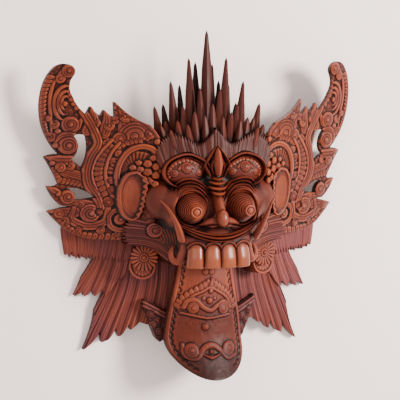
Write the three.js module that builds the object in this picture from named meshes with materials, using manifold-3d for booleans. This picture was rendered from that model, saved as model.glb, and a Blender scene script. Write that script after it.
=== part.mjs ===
// A carved wooden wall mask of a fanged witch queen: a fan of spikes over the brow, two pierced wings, three
// tiers of hair on each side, bulging eyes, tusks, a row of teeth and a long tongue that hangs from the mouth.
// It is cut as one piece of wood. Millimetres. The mask lies on its back: +Z comes out of the face, +Y points
// to the crown, and +X is the right-hand side as seen from the front. The origin is the middle of its underside.
import * as THREE from "three";
import { mergeVertices } from "three/addons/utils/BufferGeometryUtils.js";
import Module from "manifold-3d";

const wasm = await Module();
wasm.setup();

// Driving dimensions. The carving keeps its proportions as shares of the mask's height.
const MASK_HEIGHT = 500; // tongue tip to the tallest spike
const WING_THICKNESS = 15;
const HAIR_THICKNESS = 13;
const TONGUE_THICKNESS = 13;
const FRINGE_THICKNESS = 22;
const COLLAR_THICKNESS = 22;
const HOLLOW_HALF_WIDTH = 62; // the bowl cut into the back, so that the block dries without splitting
const HOLLOW_HALF_HEIGHT = 70;
const HOLLOW_DEPTH = 80;
const SPIKE_RADIUS = 9;
const SPIKE_TIP_RADIUS = 1.6;
const TOOTH_COUNT = 4;
const PETAL_COUNT = 12;
const FRINGE_TEETH = 10; // on each side

const PROPORTION_HEIGHT = 500; // the height that the shares below are written for
const unit = MASK_HEIGHT / PROPORTION_HEIGHT;
const UP_OUT = new THREE.Vector3(0, 0, 1);

// Surfaces that the carving lies on, as the height of the wood above the back, for a point of the front view.
const wingTop = (x, y) => 76 - 0.55 * (Math.abs(x) - 110) + 0.24 * (y + 20);
const hairTop = (x) => 44 - 0.33 * (Math.abs(x) - 70);
const tongueTop = (x, y) => 86 + 0.0045 * Math.max(0, -y - 185) ** 2 - 0.006 * x * x;
const lipTop = (x) => 150 - 0.0055 * x * x;

const lifted = (points, surface, lift = 0) =>
  points.map(([x, y]) => [x, y, surface(x, y) + lift]);
const mix = (a, b, t) => a + (b - a) * t;
const tapered = (root, middle, tip) => (t) =>
  t < 0.5 ? mix(root, middle, 2 * t) : mix(middle, tip, 2 * t - 1);

// A geometry as a solid, in real millimetres. A mirroring matrix turns its faces round, so they are turned back.
function solidOf(geometry, matrix = new THREE.Matrix4()) {
  const bare = geometry.clone();
  bare.deleteAttribute("normal");
  bare.deleteAttribute("uv");
  bare.applyMatrix4(matrix);
  bare.scale(unit, unit, unit);
  const merged = mergeVertices(bare, 1e-3);
  const faces = [];
  for (let i = 0; i < merged.index.count; i += 3) {
    const [a, b, c] = [0, 1, 2].map((k) => merged.index.getX(i + k));
    if (a === b || b === c || a === c) continue;
    faces.push(...(matrix.determinant() < 0 ? [a, c, b] : [a, b, c]));
  }
  return new wasm.Manifold(
    new wasm.Mesh({
      numProp: 3,
      vertProperties: merged.attributes.position.array,
      triVerts: new Uint32Array(faces),
    }),
  );
}

const MIRROR = new THREE.Matrix4().makeScale(-1, 1, 1);
const bothSides = (geometries) =>
  geometries.flatMap((g) => [solidOf(g), solidOf(g, MIRROR)]);

// A tapered bar along a smooth curve: width lies in the carved surface and height stands out of it.
function bar(points, width, height, { sides = 6, steps = 8, out = UP_OUT } = {}) {
  const curve = new THREE.CatmullRomCurve3(points.map((p) => new THREE.Vector3(...p)));
  const geometry = new THREE.CylinderGeometry(1, 1, 1, sides, steps);
  const position = geometry.attributes.position;
  for (let i = 0; i < position.count; i++) {
    const along = position.getY(i) + 0.5;
    const tangent = curve.getTangent(along);
    const across = new THREE.Vector3().crossVectors(tangent, out).normalize();
    const normal = new THREE.Vector3().crossVectors(across, tangent);
    const place = curve
      .getPoint(along)
      .addScaledVector(across, position.getX(i) * width(along))
      .addScaledVector(normal, position.getZ(i) * height(along));
    position.setXYZ(i, place.x, place.y, place.z);
  }
  return geometry;
}

// A spiral in the front view, wound inwards from a starting angle in degrees.
function spiral([x, y], outer, { turns = 1.1, start = 0, turn = 1, points = 9, inner = 0.25 } = {}) {
  return Array.from({ length: points }, (_, i) => {
    const t = i / (points - 1);
    const angle = THREE.MathUtils.degToRad(start) + turn * turns * 2 * Math.PI * t;
    const radius = outer * mix(1, inner, t);
    return [x + radius * Math.cos(angle), y + radius * Math.sin(angle)];
  });
}

// A low ridge of three sides that stands on a surface, for scrolls, bands and rims.
function ridge(points, surface, halfWidth, rise, steps = 7) {
  const fade = (t) => halfWidth * (1 - 0.55 * t);
  return bar(lifted(points, surface, 0), fade, () => rise, { sides: 3, steps });
}

// A dome, with as few faces as its size needs.
function dome(x, y, z, [rx, ry, rz], around = 10, down = 6) {
  return new THREE.SphereGeometry(1, around, down)
    .rotateX(Math.PI / 2)
    .scale(rx, ry, rz)
    .translate(x, y, z);
}

// An outline from straight runs [x, y] and bent runs [bendX, bendY, x, y].
function trace(path, [start, ...runs]) {
  path.moveTo(...start);
  for (const run of runs) {
    if (run.length === 2) path.lineTo(...run);
    else path.quadraticCurveTo(...run);
  }
  return path;
}

// A board with that outline, laid under a sloping surface.
function board(shape, thickness, surface) {
  const depth = thickness / unit;
  const geometry = new THREE.ExtrudeGeometry(shape, { depth, bevelEnabled: false, curveSegments: 4 });
  const position = geometry.attributes.position;
  for (let i = 0; i < position.count; i++) {
    const [x, y] = [position.getX(i), position.getY(i)];
    position.setZ(i, surface(x, y) - depth + position.getZ(i));
  }
  return geometry;
}

// The block of the head: boxy, rounded, and flat behind.
function headBlock() {
  const [halfWidth, halfHeight, depth, squareness] = [92, 98, 120, 0.62];
  const geometry = new THREE.SphereGeometry(1, 14, 10);
  const position = geometry.attributes.position;
  const boxy = (v) => Math.sign(v) * Math.abs(v) ** squareness;
  for (let i = 0; i < position.count; i++) {
    position.setXYZ(
      i,
      boxy(position.getX(i)) * halfWidth,
      boxy(position.getY(i)) * halfHeight,
      boxy(position.getZ(i)) * depth,
    );
  }
  return solidOf(geometry);
}

function backHollow() {
  const geometry = new THREE.SphereGeometry(1, 16, 8);
  geometry.scale(HOLLOW_HALF_WIDTH / unit, HOLLOW_HALF_HEIGHT / unit, HOLLOW_DEPTH / unit);
  return solidOf(geometry);
}

// Spikes stand in rows behind each other, each row a fan that falls away from its middle.
function crown() {
  const rows = [
    { at: [0, 28, 54, 79], peak: 245, fall: 1.32, z: 88 },
    { at: [12, 37, 61], peak: 210, fall: 1.17, z: 70 },
    { at: [17, 43, 68], peak: 175, fall: 0.85, z: 103 },
    { at: [0, 30, 57, 82], peak: 140, fall: 0.42, z: 114 },
  ];
  const rootY = 62;
  const spikeProfile = (t) =>
    mix(SPIKE_RADIUS, SPIKE_TIP_RADIUS, t ** 1.6) / unit;
  return rows.flatMap(({ at, peak, fall, z }) =>
    at.flatMap((x) => {
      const tip = [x, peak - fall * x, z];
      const root = [x * 0.8, rootY, z - 6];
      const middle = [mix(root[0], tip[0], 0.45), mix(rootY, tip[1], 0.5), z - 3];
      const spike = bar([root, middle, tip], spikeProfile, (t) => 0.8 * spikeProfile(t), { sides: 4, steps: 2 });
      return x === 0 ? [solidOf(spike)] : bothSides([spike]);
    }),
  );
}

function crownMound() {
  return solidOf(dome(0, 70, 72, [82, 44, 46], 12, 6));
}

// The combed fringe over the forehead: three lobes with a saw-tooth edge, made as two halves that meet.
function fringe() {
  const [centreTop, valley, sideTop, outerEnd] = [
    [-1, 108],
    [27, 80],
    [64, 98],
    [96, 58],
  ];
  const lobe = (x) => {
    const share = (from, to) => (x - from[0]) / (to[0] - from[0]);
    if (x < valley[0]) return mix(centreTop[1], valley[1], Math.max(0, share(centreTop, valley)) ** 1.2);
    if (x < sideTop[0]) return mix(sideTop[1], valley[1], share(sideTop, valley) ** 2);
    return mix(sideTop[1], outerEnd[1], share(sideTop, outerEnd) ** 1.7);
  };
  const toothRise = 7;
  const steps = 2 * FRINGE_TEETH;
  const top = Array.from({ length: steps + 1 }, (_, i) => {
    const x = mix(outerEnd[0], centreTop[0], i / steps);
    return [x, lobe(x) + (i % 2 ? toothRise : 0)];
  });
  const outline = trace(new THREE.Shape(), [[-1, 26], [88, 26], ...top]);
  return bothSides([board(outline, FRINGE_THICKNESS, (x) => 131 - 0.24 * x)]);
}

function brows() {
  const plate = dome(40, 49, 106, [31, 25, 22], 9, 5);
  const rim = bar(
    [
      [70, 30, 104],
      [70, 54, 108],
      [42, 74, 117],
      [14, 56, 122],
      [9, 36, 122],
    ],
    () => 3.2,
    () => 6,
    { sides: 4, steps: 6 },
  );
  return bothSides([plate, rim]);
}

function browLeaf() {
  const leaf = bar(
    [
      [0, 84, 122],
      [0, 62, 130],
      [0, 38, 131],
    ],
    tapered(0.8, 12, 2.5),
    tapered(2, 11, 5),
    { sides: 4, steps: 6 },
  );
  const rings = [0, 1].map((i) => dome(0, 31 - 9 * i, 130 + 3 * i, [14 - i, 6, 9], 6, 4));
  return [leaf, ...rings].map((g) => solidOf(g));
}

// Each eye is a stack of rings that steps up to a blunt pupil, under two heavy lids.
function eyes() {
  const steps = [
    [25, 0],
    [24, 9],
    [17, 14],
    [15, 21],
    [9, 25],
    [8, 32],
    [0, 35],
  ];
  const profile = steps.map(([r, h]) => new THREE.Vector2(r, h));
  profile.unshift(new THREE.Vector2(0, 0));
  const ball = new THREE.LatheGeometry(profile, 10);
  ball.rotateX(Math.PI / 2).translate(0, 0, 125).translate(38, -5, 0);
  const arch = (radius, z) =>
    Array.from({ length: 5 }, (_, i) => {
      const angle = THREE.MathUtils.degToRad(mix(15, 165, i / 4));
      return [38 + radius * Math.cos(angle), -6 + radius * 0.95 * Math.sin(angle), z];
    });
  const lids = [
    bar(arch(29, 134), tapered(2, 5, 2), tapered(3, 8, 3), { sides: 4, steps: 6 }),
    bar(arch(37, 128), tapered(2, 4.5, 2), tapered(3, 8, 3), { sides: 3, steps: 6 }),
  ];
  const under = bar(
    [
      [66, -16, 124],
      [40, -33, 137],
      [12, -24, 138],
    ],
    tapered(2, 5, 2),
    tapered(3, 9, 3),
    { sides: 4, steps: 3 },
  );
  return bothSides([ball, ...lids, under]);
}

function faceFront() {
  const bulk = dome(0, -10, 92, [70, 60, 44], 12, 7);
  const cheek = dome(68, 4, 96, [25, 30, 33], 8, 5);
  return [solidOf(bulk), ...bothSides([cheek])];
}

function nose() {
  const bridge = bar(
    [
      [0, 24, 128],
      [0, 4, 140],
      [0, -14, 148],
    ],
    tapered(9, 9, 13),
    tapered(10, 12, 14),
    { steps: 5 },
  );
  const bulb = dome(0, -14, 150, [13, 12, 14], 8, 5);
  const wing = bar(
    [
      [4, -20, 146],
      [20, -20, 145],
      [34, -25, 137],
    ],
    tapered(8, 6, 1.5),
    tapered(9, 7, 2),
    { sides: 5, steps: 3 },
  );
  return [solidOf(bridge), solidOf(bulb), ...bothSides([wing])];
}

function mouth() {
  const lipLine = [-68, -50, -26, 0, 26, 50, 68].map((x) => [x, -43 + 0.0048 * x * x, lipTop(x) - 4]);
  const lip = bar(lipLine, tapered(2.5, 7, 2.5), tapered(4, 10, 4), { sides: 5, steps: 8 });
  const gum = bar(
    [-50, 0, 50].map((x) => [x, -60, lipTop(x) - 20]),
    () => 20,
    () => 16,
    { sides: 8, steps: 3 },
  );
  const rowHalf = 46;
  const toothWidth = (2 * rowHalf) / TOOTH_COUNT;
  const teeth = Array.from({ length: TOOTH_COUNT }, (_, i) => {
    const x = -rowHalf + (i + 0.5) * toothWidth;
    const front = lipTop(x) - 7;
    return bar(
      [
        [x, -50, front - 9],
        [x, -66, front - 6],
        [x, -85, front - 9],
      ],
      tapered(0.4 * toothWidth, 0.5 * toothWidth, 0.53 * toothWidth),
      tapered(6, 9, 10),
      { sides: 7, steps: 3 },
    );
  });
  return [lip, gum, ...teeth].map((g) => solidOf(g));
}

function tusksAndFangs() {
  const tusk = bar(
    [
      [57, -44, 136],
      [64, -27, 143],
      [71, -10, 142],
      [84, 7, 134],
    ],
    tapered(8, 5, 0.8),
    tapered(9, 6, 0.8),
    { steps: 5 },
  );
  const fang = bar(
    [
      [46, -52, 128],
      [50, -70, 131],
      [59, -85, 127],
      [71, -80, 121],
      [70, -67, 119],
      [63, -67, 119],
    ],
    tapered(8, 8, 2.5),
    tapered(8, 8, 3),
    { steps: 8 },
  );
  return bothSides([tusk, fang]);
}

// Each ear is a hollow bean with a thick rim, set against the wing.
function ears() {
  const [x, y] = [111, 10];
  const tilt = Math.atan(0.55);
  const rim = new THREE.TorusGeometry(1, 0.24, 4, 10)
    .scale(17, 30, 30)
    .rotateY(tilt)
    .translate(x, y, wingTop(x, y) + 3);
  return bothSides([rim]);
}

// Round blossoms and beads that fill the temple between the ear and the brow.
function templeBeads() {
  const places = [
    [85, 60, 7],
    [95, 50, 8],
    [84, 45, 7],
    [90, 35, 7],
  ];
  return bothSides(places.map(([x, y, r]) => dome(x, y, 102, [r, r, 16], 6, 3)));
}

// The wing: one board that carries a horn, three crest leaves above and three leaves along the outer edge.
// Two gaps go right through, between the horn, the leaves and the band that edges the board.
function wings() {
  const outline = trace(new THREE.Shape(), [
    [60, -52],
    [158, -52],
    [184, -48, 195, -37],
    [206, -24, 217, -13],
    [200, -8, 186, -5],
    [212, 4, 219, 24],
    [204, 25],
    [214, 46, 224, 66],
    [214, 71, 205, 71],
    [212, 76],
    [233, 104, 233, 140],
    [233, 176, 216, 193],
    [192, 204, 190, 185],
    [202, 160, 174, 126],
    [168, 139],
    [162, 128, 155, 126],
    [151, 134],
    [144, 125, 137, 124],
    [139, 146],
    [120, 122, 92, 113],
    [76, 90],
    [60, 84],
  ]);
  outline.holes.push(
    trace(new THREE.Path(), [
      [190, 97],
      [172, 98],
      [166, 78, 175, 50],
      [184, 56, 191, 63],
      [181, 78, 190, 97],
    ]),
    trace(new THREE.Path(), [
      [193, 22],
      [180, 27, 155, 9],
      [168, 5, 181, 4],
      [180, 14, 193, 22],
    ]),
  );
  return bothSides([board(outline, WING_THICKNESS, wingTop)]);
}

// Raised scrolls and bands on the wing.
function wingCarving() {
  const bands = [
    ridge([[176, 120], [162, 101], [156, 87], [163, 73], [168, 50], [165, 27], [155, 6]], wingTop, 4, 6),
    ridge([[129, 6], [133, 38], [128, 63], [108, 83], [90, 77]], wingTop, 4.5, 8),
  ];
  const scrolls = [
    { at: [196, 113], r: 12, start: 200 },
    { at: [203, 141], r: 10, start: 90, turn: -1 },
    { at: [118, 103], r: 11, start: 60, turn: -1 },
    { at: [162, -14], r: 13, start: 180, turn: -1 },
  ].map(({ at, r, ...options }) => ridge(spiral(at, r, options), wingTop, 2.6, 5));
  return bothSides([...bands, ...scrolls]);
}

// The tuft below the ear, with its curl.
function sideTufts() {
  const surface = (x) => 92 - 0.45 * (Math.abs(x) - 78);
  const tuft = board(
    trace(new THREE.Shape(), [
      [70, -26],
      [88, -20, 96, -28],
      [104, -24],
      [108, -31],
      [118, -33],
      [112, -41],
      [117, -48],
      [108, -58],
      [70, -58],
    ]),
    30 * unit,
    surface,
  );
  return bothSides([tuft, ridge(spiral([84, -38], 10, { start: 180, turn: -1 }), surface, 3, 6)]);
}

// A wheel of petals in front of the hair on each side, over a plain round disc.
function rosettes() {
  const [x, y, z, radius] = [90, -77, 72, 19];
  const facing = new THREE.Matrix4()
    .makeTranslation(x, y, z)
    .multiply(new THREE.Matrix4().makeRotationY(THREE.MathUtils.degToRad(20)));
  const disc = new THREE.CylinderGeometry(radius, radius, 30, 12).rotateX(Math.PI / 2).translate(0, 0, -15);
  const lower = new THREE.CylinderGeometry(radius, radius, 30, 12).rotateX(Math.PI / 2).translate(3, -13, -19);
  const centre = dome(0, 0, 4, [6, 6, 5], 6, 4);
  const star = Array.from({ length: 2 * PETAL_COUNT }, (_, i) => {
    const reach = radius * (i % 2 ? 0.95 : 0.5);
    const angle = (Math.PI * i) / PETAL_COUNT;
    return [reach * Math.cos(angle), reach * Math.sin(angle)];
  });
  const petals = board(trace(new THREE.Shape(), star), 8 * unit, () => 4);
  return bothSides([disc, lower, centre, petals].map((g) => g.applyMatrix4(facing)));
}

// Hair in three tiers that overlap, each a board with pointed locks along its lower edge.
function hair() {
  const tiers = [
    [[-1, -60], [110, -60], [139, -135], [149, -166], [165, -218], [141, -193], [138, -210], [118, -188],
      [115, -199], [102, -180], [99, -186], [86, -178], [-1, -166]],
    [[50, -40], [150, -40], [158, -88], [177, -137], [166, -133], [163, -137], [151, -132], [149, -136], [138, -131],
      [124, -140], [50, -130]],
    [[60, -30], [194, -30], [194, -45], [188, -77], [182, -74], [179, -82], [172, -78], [169, -86], [158, -84],
      [148, -92], [60, -90]],
  ];
  const lift = 4;
  return bothSides(
    tiers.map((outline, i) =>
      board(trace(new THREE.Shape(), outline), HAIR_THICKNESS, (x) => hairTop(x) + lift * (i - 1)),
    ),
  );
}

// The garland that shows on both sides of the tongue.
function collar() {
  const path = [-80, -60, -30, 0, 30, 60, 80].map((x) => [x, -178 + 0.0042 * x * x, 48 - 0.0012 * x * x]);
  const half = COLLAR_THICKNESS / unit / 2;
  return solidOf(bar(path, tapered(13, 22, 13), () => half, { sides: 6, steps: 8 }));
}

function tongueHalfWidth(y) {
  const [rootY, wideY, tipY, rootHalf, wideHalf] = [-70, -203, -255, 39, 58];
  if (y > wideY) return mix(rootHalf, wideHalf, THREE.MathUtils.smoothstep(-y, -rootY, -wideY));
  return wideHalf * Math.sqrt(Math.max(0, 1 - ((wideY - y) / (wideY - tipY)) ** 2));
}

// The tongue hangs from the mouth as a board that widens, with a raised border and carved fields.
function tongue() {
  const [rootY, tipY] = [-60, -255];
  const row = (t) => mix(rootY, tipY, Math.sin((Math.PI / 2) * t));
  const lean = (y) => 11 * THREE.MathUtils.smoothstep(-y, 190, 255);
  const halfThickness = TONGUE_THICKNESS / unit / 2;
  const across = (share, y) => share * Math.max(5, tongueHalfWidth(y)) + lean(y);
  const columns = [-1, -0.93, -0.84, -0.42, 0, 0.42, 0.84, 0.93, 1];
  const border = 3;
  const plate = new THREE.BoxGeometry(columns.length - 1, 1, 2, columns.length - 1, 9, 1);
  const position = plate.attributes.position;
  for (let i = 0; i < position.count; i++) {
    const share = columns[Math.round(position.getX(i) + (columns.length - 1) / 2)];
    const y = row(0.5 - position.getY(i));
    const x = across(share, y);
    const side = position.getZ(i);
    const raised = side > 0 && Math.abs(share) > 0.9 && Math.abs(share) < 1 ? border : 0;
    position.setXYZ(i, x, y, tongueTop(x, y) + (side - 1) * halfThickness + raised);
  }
  const flame = bar(
    lifted([[0, -112], [0, -138], [0, -160]], tongueTop, 0),
    tapered(2, 20, 34),
    tapered(2, 5, 3),
    { sides: 4, steps: 4 },
  );
  const scrolls = [-1, 1].map((side) =>
    ridge(spiral([side * 26 + 3, -214], 12, { start: 90, turn: side }), tongueTop, 3, 5),
  );
  return [plate, flame, ...scrolls].map((g) => solidOf(g));
}

// Everything behind the back plane is cut away, so that the mask lies flat.
function belowBack() {
  const [span, drop] = [900, 300];
  return solidOf(new THREE.BoxGeometry(span, span, drop).translate(0, 0, -drop / 2));
}

function geometryOf(solid) {
  const { vertProperties, numProp, triVerts } = solid.getMesh();
  const geometry = new THREE.BufferGeometry();
  const places = new Float32Array((vertProperties.length / numProp) * 3);
  for (let i = 0; i < places.length / 3; i++)
    places.set(vertProperties.subarray(i * numProp, i * numProp + 3), i * 3);
  geometry.setAttribute("position", new THREE.BufferAttribute(places, 3));
  geometry.setIndex(new THREE.BufferAttribute(triVerts, 1));
  return geometry;
}

// The carving is solid wood, so the small voids closed in between its overlapping forms are filled: the skin
// with the largest volume is kept.
function outerSkin(geometry) {
  const index = geometry.index.array;
  const position = geometry.attributes.position;
  const parent = Array.from({ length: position.count }, (_, i) => i);
  const find = (i) => {
    while (parent[i] !== i) {
      parent[i] = parent[parent[i]];
      i = parent[i];
    }
    return i;
  };
  for (let i = 0; i < index.length; i += 3) {
    parent[find(index[i])] = find(index[i + 1]);
    parent[find(index[i + 1])] = find(index[i + 2]);
  }
  const volume = new Map();
  const corner = (i) => new THREE.Vector3().fromBufferAttribute(position, index[i]);
  for (let i = 0; i < index.length; i += 3) {
    const skin = find(index[i]);
    const part = corner(i).dot(corner(i + 1).cross(corner(i + 2))) / 6;
    volume.set(skin, (volume.get(skin) ?? 0) + part);
  }
  const outer = [...volume].sort((a, b) => b[1] - a[1])[0][0];
  const kept = [];
  for (let i = 0; i < index.length; i += 3)
    if (find(index[i]) === outer) kept.push(index[i], index[i + 1], index[i + 2]);
  geometry.setIndex(kept);
  return geometry;
}

const carved = [
  headBlock(),
  crownMound(),
  ...crown(),
  ...fringe(),
  ...brows(),
  ...browLeaf(),
  ...eyes(),
  ...faceFront(),
  ...nose(),
  ...mouth(),
  ...tusksAndFangs(),
  ...ears(),
  ...templeBeads(),
  ...wings(),
  ...wingCarving(),
  ...sideTufts(),
  ...rosettes(),
  ...hair(),
  collar(),
  ...tongue(),
]
  .reduce((whole, form) => whole.add(form))
  .subtract(belowBack())
  .subtract(backHollow());

const geometry = outerSkin(geometryOf(carved));
geometry.computeBoundingBox();
const middle = geometry.boundingBox.getCenter(new THREE.Vector3());
geometry.translate(-middle.x, -middle.y, -geometry.boundingBox.min.z);
geometry.computeVertexNormals();

const wood = new THREE.MeshStandardMaterial({ color: 0x9a5236, roughness: 0.5, metalness: 0 });
const mask = new THREE.Mesh(geometry, wood);
mask.name = "carved_mask";

const group = new THREE.Group();
group.add(mask);
export default group;
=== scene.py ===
# %% [markdown]
# A mask of a fanged witch queen, carved from one block of reddish hardwood, oiled and rubbed. It lies on its back:
# +Z comes out of the face, +Y points to the crown, +X is the right-hand side as seen from the front.
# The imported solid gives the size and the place. The carving over it is made here, in millimetres of the carver's own
# drawing, and is turned into metres when a piece is finished.

# %% Load the frame
import math

import bmesh
import bpy
import numpy as np
from mathutils import Matrix, Vector
from mathutils.bvhtree import BVHTree


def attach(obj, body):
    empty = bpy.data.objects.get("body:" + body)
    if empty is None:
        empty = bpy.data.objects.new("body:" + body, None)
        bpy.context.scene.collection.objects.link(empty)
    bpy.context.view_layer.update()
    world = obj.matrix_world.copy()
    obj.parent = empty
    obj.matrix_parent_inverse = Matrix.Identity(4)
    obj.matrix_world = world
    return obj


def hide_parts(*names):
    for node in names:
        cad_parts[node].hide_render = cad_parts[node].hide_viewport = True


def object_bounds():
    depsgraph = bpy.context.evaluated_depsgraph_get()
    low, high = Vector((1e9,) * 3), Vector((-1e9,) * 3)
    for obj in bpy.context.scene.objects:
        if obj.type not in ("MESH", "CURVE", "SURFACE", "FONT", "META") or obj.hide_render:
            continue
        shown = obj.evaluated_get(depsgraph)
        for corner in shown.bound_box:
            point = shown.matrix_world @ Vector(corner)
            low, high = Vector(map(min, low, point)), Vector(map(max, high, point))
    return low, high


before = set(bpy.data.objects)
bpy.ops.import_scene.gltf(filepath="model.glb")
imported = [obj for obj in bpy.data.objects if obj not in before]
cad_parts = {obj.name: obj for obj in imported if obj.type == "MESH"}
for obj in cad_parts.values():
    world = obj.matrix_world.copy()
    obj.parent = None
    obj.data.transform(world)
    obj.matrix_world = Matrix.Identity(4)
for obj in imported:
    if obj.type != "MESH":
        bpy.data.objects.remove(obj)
CAD_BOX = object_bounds()
MM = 0.001
TALLEST_SPIKE = 245.0  # in the drawing, whose zero lies between the eyes
SHIFT_Y = CAD_BOX[1][1] / MM - TALLEST_SPIKE
print("solid's box in mm:", [[round(c / MM, 1) for c in corner] for corner in CAD_BOX])

# %% [markdown]
# The camera comes first, because the photograph looks at the mask from a little to its left and a little above.
# A long lens from 2.5 m keeps the wings the same size, as a studio photograph does.

# %% Camera
CAMERA_LEFT = math.radians(18)
CAMERA_ABOVE = math.radians(6)
CAMERA_DISTANCE = 2.5
AIM_HEIGHT = 51 * MM  # the camera aims at a point halfway out of the wood
PIXEL = 1.44 * MM  # what one of the frame's 400 pixels covers at that point
SENSOR = 36.0


def add_camera():
    target = Vector((0, SHIFT_Y * MM, AIM_HEIGHT))
    left, above = CAMERA_LEFT, CAMERA_ABOVE
    towards = Vector((-math.sin(left) * math.cos(above), math.sin(above), math.cos(left) * math.cos(above)))
    right = Vector((math.cos(left), 0, math.sin(left)))
    up = towards.cross(right)
    data = bpy.data.cameras.new("camera")
    data.sensor_width = SENSOR
    data.lens = CAMERA_DISTANCE / PIXEL / 400 * SENSOR
    data.clip_end = 20
    camera = bpy.data.objects.new("camera", data)
    turned = Matrix((right, up, towards)).transposed().to_4x4()
    camera.matrix_world = Matrix.Translation(target + towards * CAMERA_DISTANCE) @ turned
    bpy.context.collection.objects.link(camera)
    bpy.context.scene.camera = camera
    return camera


camera = add_camera()
print("lens in mm:", round(camera.data.lens, 1))

# %% [markdown]
# The light in the photograph is a large soft source above and to the right of the face, and a pale room that fills
# the shadows. A disc light, a weak one from the other side and a pale world do the same. The floor stands in for the
# pale wall behind.

# %% Light and floor
LIGHTS = (  # name, place and width in metres, watts, colour
    ("key_light", (1.25, 0.4, 1.6), 0.65, 92, "#fff6f0"),
    ("fill_light", (-1.0, 0.5, 1.9), 1.2, 7, "#fff4f0"),
)
ROOM_COLOUR, ROOM_STRENGTH = "#f6ecea", 1.22


def linear(hex_colour):
    """An sRGB hex value as the linear colour that shaders use."""
    channels = [int(hex_colour[i : i + 2], 16) / 255 for i in (1, 3, 5)]
    return [c / 12.92 if c <= 0.04045 else ((c + 0.055) / 1.055) ** 2.4 for c in channels]


def add_area_light(name, place, size, power, colour):
    data = bpy.data.lights.new(name, "AREA")
    data.shape = "DISK"
    data.size = size
    data.energy = power
    data.color = linear(colour)
    light = bpy.data.objects.new(name, data)
    light.location = place
    light.rotation_euler = (Vector((0, 0, 0.05)) - Vector(place)).to_track_quat("-Z", "Y").to_euler()
    bpy.context.collection.objects.link(light)


for settings in LIGHTS:
    add_area_light(*settings)
world = bpy.data.worlds.new("pale_room")
world.use_nodes = True
background = world.node_tree.nodes["Background"]
background.inputs["Color"].default_value = (*linear(ROOM_COLOUR), 1)
background.inputs["Strength"].default_value = ROOM_STRENGTH
bpy.context.scene.world = world


def add_floor():
    form = bmesh.new()
    bmesh.ops.create_grid(form, x_segments=1, y_segments=1, size=3)
    mesh = bpy.data.meshes.new("floor")
    form.to_mesh(mesh)
    form.free()
    # limewashed board: chalky and matt, so that it throws back light without a shine
    limewash = bpy.data.materials.new("limewash")
    limewash.use_nodes = True
    shader = limewash.node_tree.nodes["Principled BSDF"]
    shader.inputs["Base Color"].default_value = (*linear("#fff3ef"), 1)
    shader.inputs["Roughness"].default_value = 0.9
    mesh.materials.append(limewash)
    floor = bpy.data.objects.new("floor", mesh)
    floor.location.z = -0.5 * MM
    bpy.context.collection.objects.link(floor)
    print("lights:", len(LIGHTS), "and a floor")


add_floor()

# %% [markdown]
# A carver draws on the board, cuts the ground away round each motif, then shapes the motif. The relief here is made
# the same way: a fine grid of heights, on which each motif is laid at its own level with a cut round it.
# Heights on a grid are quick to work out and give crisp carving, and only forms that lean over need another way.

# %% Curves and distances


def smooth_line(points, count=60):
    """A smooth curve (Catmull-Rom) through some points, as many places along it."""
    p = np.asarray(points, float)
    padded = np.vstack([2 * p[0] - p[1], p, 2 * p[-1] - p[-2]])
    along = np.linspace(0, len(p) - 1, count)
    i = np.minimum(along.astype(int), len(p) - 2)
    f = (along - i)[:, None]
    a, b, c, d = padded[i], padded[i + 1], padded[i + 2], padded[i + 3]
    return 0.5 * (2 * b + (c - a) * f + (2 * a - 5 * b + 4 * c - d) * f**2 + (3 * b - a - 3 * c + d) * f**3)


def trace(start, *runs):
    """An outline from straight runs (x, y) and bent runs (bend x, bend y, x, y)."""
    places = [np.array(start, float)]
    for run in runs:
        if len(run) == 2:
            places.append(np.array(run, float))
            continue
        a, b, c = places[-1], np.array(run[:2], float), np.array(run[2:], float)
        for t in np.linspace(0, 1, 13)[1:]:
            places.append((1 - t) ** 2 * a + 2 * t * (1 - t) * b + t * t * c)
    return np.array(places)


def taper(*values):
    """A half width that runs evenly through some values along a form."""
    return lambda t: np.interp(t, np.linspace(0, 1, len(values)), values)


def smooth_step(low, high, value):
    t = np.clip((value - low) / (high - low), 0, 1)
    return t * t * (3 - 2 * t)


def inside_distance(x, y, loops):
    """How far each place is inside the outline, in mm, and below zero outside it. Inner loops are holes."""
    nearest = np.full(x.shape, 1e9)
    inside = np.zeros(x.shape, bool)
    for loop in loops:
        for (ax, ay), (bx, by) in zip(loop, np.roll(loop, -1, 0)):
            dx, dy = bx - ax, by - ay
            t = np.clip(((x - ax) * dx + (y - ay) * dy) / max(dx * dx + dy * dy, 1e-9), 0, 1)
            nearest = np.minimum(nearest, (x - ax - t * dx) ** 2 + (y - ay - t * dy) ** 2)
            if ay != by:
                inside ^= ((ay > y) != (by > y)) & (x < (bx - ax) * (y - ay) / (by - ay) + ax)
    return np.where(inside, 1, -1) * np.sqrt(nearest)


def value_noise(x, y, seed=0):
    """Smooth noise from 0 to 1, the same on every run."""
    xi, yi = np.floor(x), np.floor(y)
    fx, fy = x - xi, y - yi
    fx, fy = fx * fx * (3 - 2 * fx), fy * fy * (3 - 2 * fy)

    def corner(i, j):
        v = np.sin((xi + i) * 127.1 + (yi + j) * 311.7 + seed * 74.7) * 43758.5453
        return v - np.floor(v)

    low = corner(0, 0) * (1 - fx) + corner(1, 0) * fx
    high = corner(0, 1) * (1 - fx) + corner(1, 1) * fx
    return low * (1 - fy) + high * fy


def blurred(field, cells):
    """A soft copy of a grid, by three passes of a running mean. cells is the reach along each axis."""
    for axis in (0, 1):
        reach = max(1, int(cells[axis]))
        for _ in range(3):
            padded = np.pad(field, [(reach + 1, reach) if k == axis else (0, 0) for k in (0, 1)], mode="edge")
            total = np.cumsum(padded, axis=axis)
            width = 2 * reach + 1
            if axis == 0:
                field = (total[width:, :] - total[:-width, :]) / width
            else:
                field = (total[:, width:] - total[:, :-width]) / width
    return field


# %% [markdown]
# The motifs of this carving are few: round beads, snail scrolls, ribbed plumes, leaf lobes in a row, fans of ribs and
# plain ridges. Each is a small function that works out where it lies and how high it stands.

# %% The relief and its motifs


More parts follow.
